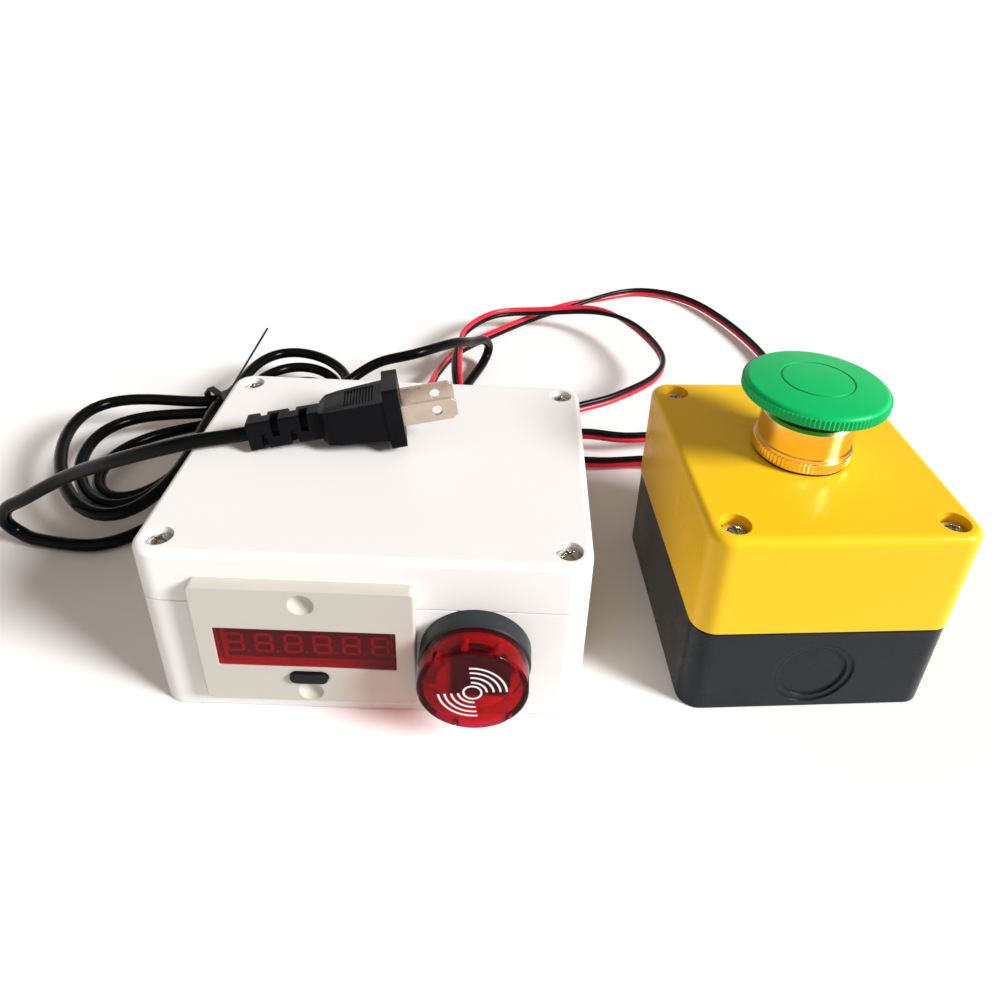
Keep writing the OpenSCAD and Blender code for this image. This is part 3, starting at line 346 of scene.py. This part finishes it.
points, faces, colours = [], [], []
for core, lift in enumerate((1, -1)):
    first = len(points)
    for i, centre in enumerate(twin_line):
        along, side, up = ring_frame(twin_line, i)
        rolled = radians(between(twin_roll, (i - 1) / twin_steps - 1))
        shift = (up * cos(rolled) + side * sin(rolled)) * lift * (core_radius - core_weld) * MM
        for k in range(core_sides):
            a = 2 * pi * k / core_sides
            points.append(centre + shift + (side * cos(a) + up * sin(a)) * core_radius * MM)
    join_rings(faces, first, core_sides, len(twin_line) - 1)
    colours += [core] * (len(faces) - len(colours))
twin_mesh = mesh_of("signal_twin", points, faces, smooth=True)
twin_mesh.polygons.foreach_set("material_index", colours)
signal_twin = put("signal_twin", twin_mesh)

# PVC, extruded: plain black and red, with a bright line along the top of each core
for name, dark, light, gloss in (("core_pvc_black", "#060607", "#101012", 0.15),
                                 ("core_pvc_red", "#CF1530", "#E3203E", 0.4)):
    core_pvc, tree, shader = start_material(name, IOR=1.52, Specular_IOR_Level=gloss)
    place = grain(tree, shader, size_mm=1.2, depth_mm=0.02)
    mottle(tree, shader, place, dark, light, size_mm=7)
    handled(tree, shader, place, clean=0.22, worn=0.36, size_mm=11)
    twin_mesh.materials.append(core_pvc)

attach(signal_twin, "counter_set")
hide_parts("signal_cable")


# Counter box: injection moulded white ABS, tub and lid with a foam cord
# between them. The faces are spark eroded, satin with a very fine grain.
def dress(material, *names):
    """Gives solids that keep their shape their material."""
    for name in names:
        mesh = nodes[name].data
        mesh.materials.clear()
        mesh.materials.append(material)


# ABS, moulded on spark eroded steel: clean white with a soft sheen and hardly any grain
white_abs, tree, shader = start_material("white_abs_moulded", IOR=1.53, Specular_IOR_Level=0.3)
place = grain(tree, shader, size_mm=0.5, depth_mm=0.006, edge_mm=0.4)
mottle(tree, shader, place, "#F3F3F2", "#F8F8F7", size_mm=60)
handled(tree, shader, place, clean=0.3, worn=0.46, size_mm=22)
dress(white_abs, "counter_base", "counter_lid")

# foam, closed cell: dull dark grey, rough all over
foam, tree, shader = start_material("gasket_foam", Roughness=0.9, Specular_IOR_Level=0.2)
place = grain(tree, shader, size_mm=0.4, depth_mm=0.05)
mottle(tree, shader, place, "#333335", "#434345", size_mm=2)
dress(foam, "lid_gasket", "remote_gasket")

# Box screws: nickel plated steel pan heads with a cross recess. One screw is
# turned and cut once, and a tree sets a copy in each well, at its own angle.
head_radius, head_crown, shank_radius = 3.3, 4.6, 1.5
head_rings, head_sides = 30, 96
cross_reach, cross_width, cross_slope = 2.05, 0.85, 0.22
# the recess is deepest in its middle, and shallower by a share at its ends
cross_depth, cross_middle, cross_fade = 1.35, 1.15, 0.55


def slope(inside):
    """1 well inside an edge, 0 outside it, with a steep flank between."""
    t = max(0.0, min(1.0, 0.5 + inside / cross_slope))
    return t * t * (3 - 2 * t)


def head_level(x, y):
    """Level of the crown, down from its top, less the cross that is struck into it."""
    crown = sqrt(head_crown ** 2 - x * x - y * y) - head_crown
    wing_x = min(slope(cross_width / 2 - abs(y)), slope(cross_reach - abs(x)))
    wing_y = min(slope(cross_width / 2 - abs(x)), slope(cross_reach - abs(y)))
    reach = sqrt(x * x + y * y) / cross_reach
    return crown - cross_depth * max(wing_x, wing_y) * (cross_middle - cross_fade * reach)


def screw_mesh(head_height, length):
    """A screw on the origin: rings outwards over the crown, down the head, down the shank."""
    rings = [(head_radius * j / head_rings, None) for j in range(1, head_rings + 1)]
    rings += [(head_radius, 0), (shank_radius, 0), (shank_radius, -length)]
    points, faces = [(0, 0, (head_height + head_level(0, 0)) * MM)], []
    for radius, level in rings:
        for k in range(head_sides):
            x = radius * cos(2 * pi * k / head_sides)
            y = radius * sin(2 * pi * k / head_sides)
            z = head_height + head_level(x, y) if level is None else level
            points.append((x * MM, y * MM, z * MM))
    for k in range(head_sides):
        after = (k + 1) % head_sides
        faces.append((0, 1 + k, 1 + after))
        for j in range(len(rings) - 1):
            a, b = 1 + j * head_sides, 1 + (j + 1) * head_sides
            faces.append((a + k, b + k, b + after, a + after))
    last = 1 + (len(rings) - 1) * head_sides
    faces.append([last + k for k in range(head_sides)][::-1])
    return mesh_of("screw", points, faces, smooth=True)


screw_tree = bpy.data.node_groups.new("screws_in_wells", "GeometryNodeTree")
sockets = {"Wells": "Geometry", "Screw": "Object", "Finish": "Material", "Seed": "Int"}
for name, kind in sockets.items():
    screw_tree.interface.new_socket(name, in_out="INPUT", socket_type="NodeSocket" + kind)
screw_tree.interface.new_socket("Screws", in_out="OUTPUT", socket_type="NodeSocketGeometry")
given = add(screw_tree, "NodeGroupInput")
screw = add(screw_tree, "GeometryNodeObjectInfo", {"Object": given.outputs["Screw"]})
# input 3 of Random Value is the most that a number may be, and output 1 the number
angle = add(screw_tree, "FunctionNodeRandomValue", {
    3: 2 * pi, "Seed": given.outputs["Seed"]}, data_type="FLOAT")
upright = add(screw_tree, "ShaderNodeCombineXYZ", {"Z": angle.outputs[1]})
spun = add(screw_tree, "FunctionNodeEulerToRotation", {"Euler": upright.outputs[0]})
seated = add(screw_tree, "GeometryNodeInstanceOnPoints", {
    "Points": given.outputs["Wells"], "Instance": screw.outputs["Geometry"],
    "Rotation": spun.outputs[0]})
whole = add(screw_tree, "GeometryNodeRealizeInstances", {"Geometry": seated.outputs[0]})
plated = add(screw_tree, "GeometryNodeSetMaterial", {
    "Geometry": whole.outputs[0], "Material": given.outputs["Finish"]})
add(screw_tree, "NodeGroupOutput", {"Screws": plated.outputs[0]})

# steel, struck and nickel plated: bright warm grey, with dull specks in the recess
nickel, tree, shader = start_material("nickel_plated_steel", Metallic=1.0)
place = grain(tree, shader, size_mm=0.35, depth_mm=0.012)
mottle(tree, shader, place, "#8A857E", "#E2DED6", size_mm=1.2)
handled(tree, shader, place, clean=0.07, worn=0.22, size_mm=1.5)


def set_screws(name, node, wells, head_height, length, seed):
    """Screws in these wells, as one mesh that stands for the node."""
    model = put("screw", screw_mesh(head_height, length))
    places = put(name + "_wells", mesh_of(name, [w * MM for w in wells], []))
    modifier = places.modifiers.new("screws", "NODES")
    modifier.node_group = screw_tree
    values = {"Screw": model, "Finish": nickel, "Seed": seed}
    for item in screw_tree.interface.items_tree:
        if item.in_out == "INPUT" and item.name in values:
            modifier[item.identifier] = values[item.name]
    graph = bpy.context.evaluated_depsgraph_get()
    made = bpy.data.meshes.new_from_object(places.evaluated_get(graph))
    places.modifiers.remove(modifier)
    for spent in (places, model):
        bpy.data.objects.remove(spent)
    piece = put(name, made)
    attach(piece, "counter_set")
    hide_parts(node)


# a head's seat lies under its well, as deep as the head that the solids have
corners = [(x, y) for x in (-1, 1) for y in (-1, 1)]
solid_head = 2.2
box_length, box_height = 115, 54
lid_inset_x, lid_inset_y, lid_well_depth = 6.3, 6.2, 3
lid_x, lid_y = box_length / 2 - lid_inset_x, box_width / 2 - lid_inset_y
lid_seat = box_height - lid_well_depth - solid_head
set_screws("lid_pan_screws", "lid_screws",
           [Vector((x * lid_x, y * lid_y, lid_seat)) for x, y in corners],
           head_height=4.6, length=18, seed=4)
station_length, station_height = 73, 61.5
cover_inset_x, cover_inset_y, cover_well_depth = 7.4, 6.7, 4
cover_x, cover_y = station_length / 2 - cover_inset_x, station_width / 2 - cover_inset_y
cover_seat = station_height - cover_well_depth - solid_head
set_screws("cover_pan_screws", "remote_screws",
           [station_pose @ Vector((x * cover_x, y * cover_y, cover_seat)) for x, y in corners],
           head_height=4.9, length=34, seed=9)

# Counter module: an ivory ABS plate with a clear red filter over six digits
# of light bars, and a polished black reset key that presses a switch.

# ABS, moulded: ivory, duller than the white box round it
ivory_abs, tree, shader = start_material("ivory_abs_moulded", IOR=1.53, Specular_IOR_Level=0.35)
place = grain(tree, shader, size_mm=0.4, depth_mm=0.008, edge_mm=0.3)
mottle(tree, shader, place, "#C5C2B8", "#CECBC2", size_mm=40)
handled(tree, shader, place, clean=0.34, worn=0.5, size_mm=12)
dress(ivory_abs, "display_panel", "counter_case")


def red_clear(name, dark, light, passed, clear, wave_mm, depth_mm, **surface):
    """Clear red plastic, a little wavy, that lets the lamps through, tinted, to what is behind."""
    material, tree, shader = start_material(
        name, Transmission_Weight=clear, Specular_IOR_Level=0.12, **surface)
    place = grain(tree, shader, wave_mm, depth_mm, edge_mm=0.35)
    mottle(tree, shader, place, dark, light, wave_mm)
    handled(tree, shader, place, clean=0.05, worn=0.13, size_mm=wave_mm)
    rays = add(tree, "ShaderNodeLightPath")
    through = add(tree, "ShaderNodeBsdfTransparent", {"Color": linear(passed)})
    both = add(tree, "ShaderNodeMixShader", {
        0: rays.outputs["Is Shadow Ray"], 1: shader.outputs[0], 2: through.outputs[0]})
    tree.links.new(both.outputs[0], tree.nodes["Material Output"].inputs["Surface"])
    return material


# acrylic, cast and polished: deep crimson, and nearly black over the dark display
# its IOR is matched to the object, because more gloss lays a grey veil over the bars
filter_red = red_clear("red_acrylic_filter", dark="#CC1836", light="#D81E3C", passed="#BC2038",
                       clear=0.95, wave_mm=9, depth_mm=0.004, IOR=1.2)
dress(filter_red, "display_window")


def part_of(tree, place, blur, past=(), before=()):
    """1 in a part of a piece, past some edges and before others, 0 outside it.

    An edge is an axis and a place along it; all lengths are in millimetres.
    """
    axes = add(tree, "ShaderNodeSeparateXYZ", {"Vector": place.outputs["Object"]})
    edges = [(*edge, 0.0, 1.0) for edge in past] + [(*edge, 1.0, 0.0) for edge in before]
    steps = [add(tree, "ShaderNodeMapRange", {
        "Value": axes.outputs[axis], "From Min": (at - blur) * MM, "From Max": (at + blur) * MM,
        "To Min": low, "To Max": high}, interpolation_type="SMOOTHSTEP").outputs[0]
        for axis, at, low, high in edges]
    share = steps[0]
    for step in steps[1:]:
        share = add(tree, "ShaderNodeMath", {0: share, 1: step}, operation="MULTIPLY").outputs[0]
    return share


def paint(tree, shader, ground, *coats):
    """Lays coats over a ground colour; a coat is how much of it shows, and its colour."""
    for share, colour in coats:
        over = add(tree, "ShaderNodeMix", {
            0: share, mix_a: ground, mix_b: colour}, data_type="RGBA")
        ground = over.outputs[mix_result]
    tree.links.new(ground, shader.inputs["Base Color"])


# styrene, moulded: black behind the filter, in a pale frame that the lamps reach
# the frame shows crimson at the left, foot and right, and has painted shade under its upper edge
face_low, face_high = (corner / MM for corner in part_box("digit_display"))
frame_left, frame_right, frame_foot, frame_head, frame_blur = 1.2, 0.5, 1.2, 0.9, 0.12
display_face, tree, shader = start_material(
    "styrene_display_face", Roughness=0.6, Specular_IOR_Level=0.15)
place = grain(tree, shader, size_mm=0.6, depth_mm=0.01)
black = mottle(tree, shader, place, "#1E191A", "#262122", size_mm=6)
head_edge = ("Z", face_high.z - frame_head)
inside = part_of(tree, place, frame_blur,
                 past=[("X", face_low.x + frame_left), ("Z", face_low.z + frame_foot)],
                 before=[("X", face_high.x - frame_right), head_edge])
# painted shade: a darker band under the frame's upper edge
shade_under_upper_edge = part_of(tree, place, frame_blur, past=[head_edge])
paint(tree, shader, linear("#AC9C9C"), (shade_under_upper_edge, linear("#6E5C5E")), (inside, black))
dress(display_face, "digit_display")

# epoxy, cast and unlit: milky bars, fainter at their feet, where less light comes
bars_dim_below, bars_blur = (face_low.z + face_high.z) / 2 - 3.4, 1.3
light_bars, tree, shader = start_material(
    "milky_epoxy_cast", Roughness=0.5, Specular_IOR_Level=0.2)
place = grain(tree, shader, size_mm=0.3, depth_mm=0.01)
milky = mottle(tree, shader, place, "#9A8284", "#AA9294", size_mm=2)
lighter = part_of(tree, place, bars_blur, past=[("Z", bars_dim_below)])
paint(tree, shader, linear("#40302F"), (lighter, milky))
dress(light_bars, "digit_segments")

# solder resist on glass fibre: dark green and half glossy
board, tree, shader = start_material("solder_resist", Roughness=0.35)
place = grain(tree, shader, size_mm=0.8, depth_mm=0.02)
mottle(tree, shader, place, "#184226", "#215234", size_mm=5)
dress(board, "counter_board")

# ABS, moulded and polished: black, with one sharp glint on its rim
key_plastic, tree, shader = start_material(
    "black_abs_polished", Roughness=0.12, Specular_IOR_Level=0.15)
place = grain(tree, shader, size_mm=1.5, depth_mm=0.01, edge_mm=0.3)
mottle(tree, shader, place, "#060607", "#0E0E10", size_mm=4)
dress(key_plastic, "reset_button")

# nylon, moulded: charcoal and matt
switch_nylon, tree, shader = start_material("charcoal_nylon_moulded", Roughness=0.5)
place = grain(tree, shader, size_mm=0.5, depth_mm=0.01, edge_mm=0.1)
mottle(tree, shader, place, "#26262A", "#303034", size_mm=3)
dress(switch_nylon, "reset_switch", "buzzer_nut")

# Buzzer: charcoal moulded ring, a red polycarbonate lens with grip notches
# over a dark sounder in its red seat, and a sound mark printed on the lens.
buzzer_x, buzzer_z, ring_thickness, lens_length = 28.4, 24.3, 5.5, 8

# ABS, moulded: charcoal and satin, duller than the lens in it
charcoal, tree, shader = start_material(
    "charcoal_abs_moulded", IOR=1.5, Specular_IOR_Level=0.25)
place = grain(tree, shader, size_mm=0.5, depth_mm=0.01, edge_mm=0.2)
mottle(tree, shader, place, "#22262A", "#2C3034", size_mm=12)
handled(tree, shader, place, clean=0.36, worn=0.5, size_mm=8)
dress(charcoal, "buzzer_bezel")

# polycarbonate, moulded: clear red, glossy, darker where it is seen edge on
# its IOR is matched to the object too, so that the sounder shows through it
lens_red = red_clear("red_polycarbonate", dark="#C81236", light="#D81A3E", passed="#B01836",
                     clear=0.975, wave_mm=5, depth_mm=0.02, IOR=1.18)
dress(lens_red, "buzzer_lens")

# styrene, moulded: black over the upper part, partly the dark can and partly painted shade, and
# its red seat in the rest, with painted light to the right, where the window's light comes through
# the lens
can_and_shade_left, can_and_shade_foot, can_and_shade_blur = buzzer_x - 6, buzzer_z - 4.5, 0.9
seat_bright_past, seat_blur = buzzer_x + 2, 3.0
sounder, tree, shader = start_material(
    "styrene_black_on_red", Roughness=0.5, Specular_IOR_Level=0.25)
place = grain(tree, shader, size_mm=0.6, depth_mm=0.01, edge_mm=0.2)
seat = mottle(tree, shader, place, "#BC2C38", "#CC3640", size_mm=5)
# painted light on the seat, to the right
bright_seat = part_of(tree, place, seat_blur, past=[("X", seat_bright_past)])
# black over the upper part: the dark can, with painted shade over it
can_and_shade = part_of(tree, place, can_and_shade_blur, past=[("X", can_and_shade_left), ("Z", can_and_shade_foot)])
paint(tree, shader, seat, (bright_seat, linear("#FF6A74")), (can_and_shade, linear("#080506")))
dress(sounder, "buzzer_sounder")

# solder resist on the lamp ring: red, so that the rim of the lens is red all round
lamp_red, tree, shader = start_material("red_solder_resist", Roughness=0.3)
place = grain(tree, shader, size_mm=0.6, depth_mm=0.01)
mottle(tree, shader, place, "#B43038", "#C43A42", size_mm=2)
dress(lamp_red, "buzzer_lamp_ring")

# the sound mark: a ring and two fans of four arcs, on the front of the lens
lens_front = -box_width / 2 - ring_thickness - lens_length
ink_line, ink_height, ink_gap = 0.54, 0.04, 0.01
ring_radius, fan_radii, fan_angles = 2.25, (3.6, 5.3, 7.0, 8.6), ((5, 96), (187, 279))
mark = [(ring_radius, 0, 360)] + [(r, low, high) for low, high in fan_angles for r in fan_radii]
# degrees times radius that one step of an arc takes
arc_step, least_steps = 24, 10
points, faces = [], []
for radius, low, high in mark:
    steps = max(least_steps, round((high - low) * radius / arc_step))
    first = len(points)
    inner, outer = radius - ink_line / 2, radius + ink_line / 2
    for i in range(steps + 1):
        a = radians(low + (high - low) * i / steps)
        for r, y in ((inner, 0), (outer, 0), (outer, -ink_height), (inner, -ink_height)):
            points.append(Vector((buzzer_x + r * cos(a), lens_front - ink_gap + y,
                                  buzzer_z + r * sin(a))) * MM)
    join_rings(faces, first, 4, steps, capped=high - low < 360)
mark_mesh = mesh_of("sound_mark", points, faces)
sound_mark = put("sound_mark", mark_mesh)

# ink, screen printed: matt white with a breath of pink from the lens
ink, tree, shader = start_material("screen_ink_white", Roughness=0.5, Specular_IOR_Level=0.3)
place = grain(tree, shader, size_mm=0.3, depth_mm=0.01)
mottle(tree, shader, place, "#F3E2E8", "#FFF4F8", size_mm=1.5)
mark_mesh.materials.append(ink)
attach(sound_mark, "counter_set")

# Terminal strip and wall bushings: cream nylon inside, black rubber outside.
# The bushings hold each cord in its wall and taper off along it.

# nylon, moulded: cream, matt, with soft edges
nylon, tree, shader = start_material("cream_nylon_moulded", Roughness=0.5)
place = grain(tree, shader, size_mm=0.8, depth_mm=0.02, edge_mm=0.2)
mottle(tree, shader, place, "#D6D1BF", "#E0DBCA", size_mm=6)
dress(nylon, "terminal_strip", "contact_block", "contact_plunger")

# rubber, moulded: dull black without a highlight
rubber, tree, shader = start_material(
    "black_rubber_moulded", Roughness=0.55, Specular_IOR_Level=0.2)
place = grain(tree, shader, size_mm=0.5, depth_mm=0.02, edge_mm=0.3)
mottle(tree, shader, place, "#0C0C0D", "#161617", size_mm=8)
dress(rubber, "mains_bushing", "signal_bushing", "remote_bushing", "button_seal")

# Plug: black PVC moulded over two blades, with a satin skin that is a little
# scuffed on its edges. The blades are plated brass strip, punched and chamfered.

# PVC, moulded: deep black, with a broad dull sheen on its flange
plug_pvc, tree, shader = start_material("plug_pvc_moulded", IOR=1.5, Specular_IOR_Level=0.07)
place = grain(tree, shader, size_mm=0.5, depth_mm=0.02, edge_mm=0.35)
mottle(tree, shader, place, "#07080A", "#101115", size_mm=8)
handled(tree, shader, place, clean=0.34, worn=0.52, size_mm=7)
dress(plug_pvc, "plug_body")

# brass strip, nickel plated: pale and warm, with the haze of use
blade_metal, tree, shader = start_material("brass_nickel_plated", Metallic=1.0)
place = grain(tree, shader, size_mm=0.6, depth_mm=0.01, edge_mm=0.1)
mottle(tree, shader, place, "#C4B2A2", "#DCCBBC", size_mm=3)
handled(tree, shader, place, clean=0.24, worn=0.42, size_mm=3)
dress(blade_metal, "plug_blades")

# Cord tie: a black nylon strip, moulded, drawn round the waist of the hank
# with its loose end standing off. Black, with a narrow sheen along the strip.
tie_nylon, tree, shader = start_material(
    "black_nylon_moulded", Roughness=0.4, Specular_IOR_Level=0.25)
place = grain(tree, shader, size_mm=0.5, depth_mm=0.01, edge_mm=0.15)
mottle(tree, shader, place, "#0B0C0D", "#151618", size_mm=4)
dress(tie_nylon, "cord_tie")

# Push button station: yellow ABS cover on a black ABS base, both out of polished
# moulds, with an even gloss that is a little duller where the hand holds them.

# ABS, moulded: golden yellow, its colour kept full by a weak gloss
yellow_abs, tree, shader = start_material("yellow_abs_moulded", IOR=1.53, Specular_IOR_Level=0.2)
place = grain(tree, shader, size_mm=0.6, depth_mm=0.008, edge_mm=0.4)
mottle(tree, shader, place, "#FFC81A", "#FFD024", size_mm=50)
handled(tree, shader, place, clean=0.27, worn=0.33, size_mm=18)
dress(yellow_abs, "remote_cover")

# ABS, moulded: a black with some blue, paler where its corners face the walls
black_abs, tree, shader = start_material("black_abs_moulded", IOR=1.53, Specular_IOR_Level=0.14)
place = grain(tree, shader, size_mm=0.6, depth_mm=0.008, edge_mm=0.4)
mottle(tree, shader, place, "#1A1F23", "#23292D", size_mm=30)
handled(tree, shader, place, clean=0.25, worn=0.32, size_mm=16)
dress(black_abs, "remote_base")

# Push button: gold anodised aluminium neck and knurled ring, a green moulded
# mushroom head on a plastic stem, a steel return spring, brass contacts.

# aluminium, turned and anodised: pale gold, smooth and bright, with sharp rims
gold, tree, shader = start_material("gold_anodised_aluminium", Metallic=1.0)
place = grain(tree, shader, size_mm=0.5, depth_mm=0.004, edge_mm=0.15)
mottle(tree, shader, place, "#F4CE88", "#FFE0A2", size_mm=12)
handled(tree, shader, place, clean=0.16, worn=0.26, size_mm=6)
dress(gold, "button_bezel", "bezel_ring")

# ABS, moulded: full green, with one soft highlight on the dome
green, tree, shader = start_material("green_abs_moulded", IOR=1.5, Specular_IOR_Level=0.14)
place = grain(tree, shader, size_mm=0.6, depth_mm=0.006, edge_mm=0.25)
mottle(tree, shader, place, "#08B45E", "#0ECA74", size_mm=25)
handled(tree, shader, place, clean=0.28, worn=0.42, size_mm=12)
dress(green, "button_head")

# acetal, moulded: black and a little waxy
stem_black, tree, shader = start_material("black_acetal_moulded", Roughness=0.4)
place = grain(tree, shader, size_mm=0.5, depth_mm=0.01, edge_mm=0.2)
mottle(tree, shader, place, "#151618", "#1F2022", size_mm=6)
dress(stem_black, "button_stem", "mounting_collar")

# spring steel, drawn: mid grey, bright along each coil
spring_steel, tree, shader = start_material("spring_steel_drawn", Metallic=1.0, Roughness=0.28)
place = grain(tree, shader, size_mm=0.3, depth_mm=0.01)
mottle(tree, shader, place, "#9C9C9E", "#B4B4B6", size_mm=2)

# the spring, welded into one smooth mesh of its own; a real spring gets shorter between its ledge
# and the plunger as the button goes down
button_travel, weld = 4.5 * MM, 0.002 * MM
coil = bmesh.new()
coil.from_mesh(nodes["button_spring"].data)
bmesh.ops.remove_doubles(coil, verts=coil.verts, dist=weld)
spring_mesh = bpy.data.meshes.new("return_spring")
coil.to_mesh(spring_mesh)
coil.free()
spring_mesh.polygons.foreach_set("use_smooth", [True] * len(spring_mesh.polygons))
spring_mesh.materials.clear()
spring_mesh.materials.append(spring_steel)
return_spring = put("return_spring", spring_mesh)
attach(return_spring, "counter_set")
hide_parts("button_spring")
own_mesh(return_spring)

# brass, stamped: warm yellow, brighter on its edges
terminal_brass, tree, shader = start_material("brass_stamped", Metallic=1.0, Roughness=0.3)
place = grain(tree, shader, size_mm=0.4, depth_mm=0.01, edge_mm=0.1)
mottle(tree, shader, place, "#BE9650", "#D2AC68", size_mm=3)
dress(terminal_brass, "contact_terminals")

# Stage: a pale floor that keeps the shadows, white all round, a window far to
# the right and a little in front, a soft lamp over the left, and a dim sky.
floor_reach, floor_level = 6.0, -0.0002
floor_corners = [(x * floor_reach, y * floor_reach, floor_level)
                 for x, y in ((-1, -1), (1, -1), (1, 1), (-1, 1))]
floor_mesh = mesh_of("floor", floor_corners, [(0, 1, 2, 3)])
floor = put("floor", floor_mesh)


def seen_directly(tree):
    """1 for rays from the camera, from gloss and through clear pieces, 0 for stray light."""
    rays = add(tree, "ShaderNodeLightPath")
    share = rays.outputs["Is Camera Ray"]
    for name in ("Is Glossy Ray", "Is Transmission Ray"):
        share = add(tree, "ShaderNodeMath", {
            0: share, 1: rays.outputs[name]}, operation="MAXIMUM").outputs[0]
    return share


# paint, matt: pale grey for the light that it throws back, white where it is seen
floor_paint = bpy.data.materials.new("pale_floor")
tree = blank_tree(floor_paint)
plain = add(tree, "ShaderNodeBsdfDiffuse", {"Color": linear("#DADADA")})
bright = add(tree, "ShaderNodeBsdfDiffuse", {"Color": (1, 1, 1, 1)})
both = add(tree, "ShaderNodeMixShader", {
    0: seen_directly(tree), 1: plain.outputs[0], 2: bright.outputs[0]})
add(tree, "ShaderNodeOutputMaterial", {"Surface": both.outputs[0]})
floor_mesh.materials.append(floor_paint)

# the sky lights the object, dim and a little warm; the camera sees white all round
# gloss sees white walls under a dim ceiling, so that black plastic stays black
sky_strength, wall_top, ceiling_start, ceiling_share = 0.26, 0.15, 0.5, 0.1
world = bpy.data.worlds.new("studio")
scene.world = world
tree = blank_tree(world)
sky = add(tree, "ShaderNodeBackground", {"Color": linear("#FFE6D2"), "Strength": sky_strength})
white = add(tree, "ShaderNodeBackground", {"Color": (1, 1, 1, 1), "Strength": 1.0})
direction = add(tree, "ShaderNodeTexCoord").outputs["Generated"]
heading = add(tree, "ShaderNodeSeparateXYZ", {"Vector": direction})
walls = add(tree, "ShaderNodeMapRange", {
    "Value": heading.outputs["Z"], "From Min": wall_top, "From Max": ceiling_start,
    "To Min": 1.0, "To Max": ceiling_share}, interpolation_type="SMOOTHSTEP")
rays = add(tree, "ShaderNodeLightPath")
around = add(tree, "ShaderNodeMath", {
    0: rays.outputs["Is Camera Ray"], 1: walls.outputs[0]}, operation="MAXIMUM")
shown = add(tree, "ShaderNodeMath", {
    0: seen_directly(tree), 1: around.outputs[0]}, operation="MULTIPLY")
mixed = add(tree, "ShaderNodeMixShader", {
    0: shown.outputs[0], 1: sky.outputs[0], 2: white.outputs[0]})
add(tree, "ShaderNodeOutputWorld", {"Surface": mixed.outputs[0]})


def far_lamp(name, towards, spread, level, colour):
    """A lamp far away; level is the share of white that it gives a white face turned to it."""
    data = bpy.data.lights.new(name, "SUN")
    data.angle = radians(spread)
    data.energy = level * pi
    data.color = linear(colour)[:3]
    made = put(name, data)
    made.matrix_world = Vector(towards).to_track_quat("Z", "Y").to_matrix().to_4x4()


far_lamp("window", towards=(0.80, -0.36, 0.52), spread=18, level=1.52, colour="#FEFEFF")
far_lamp("soft_lamp", towards=(-0.25, -0.7, 0.9), spread=60, level=0.09, colour="#FFFFFF")

scene.view_settings.view_transform = "Standard"
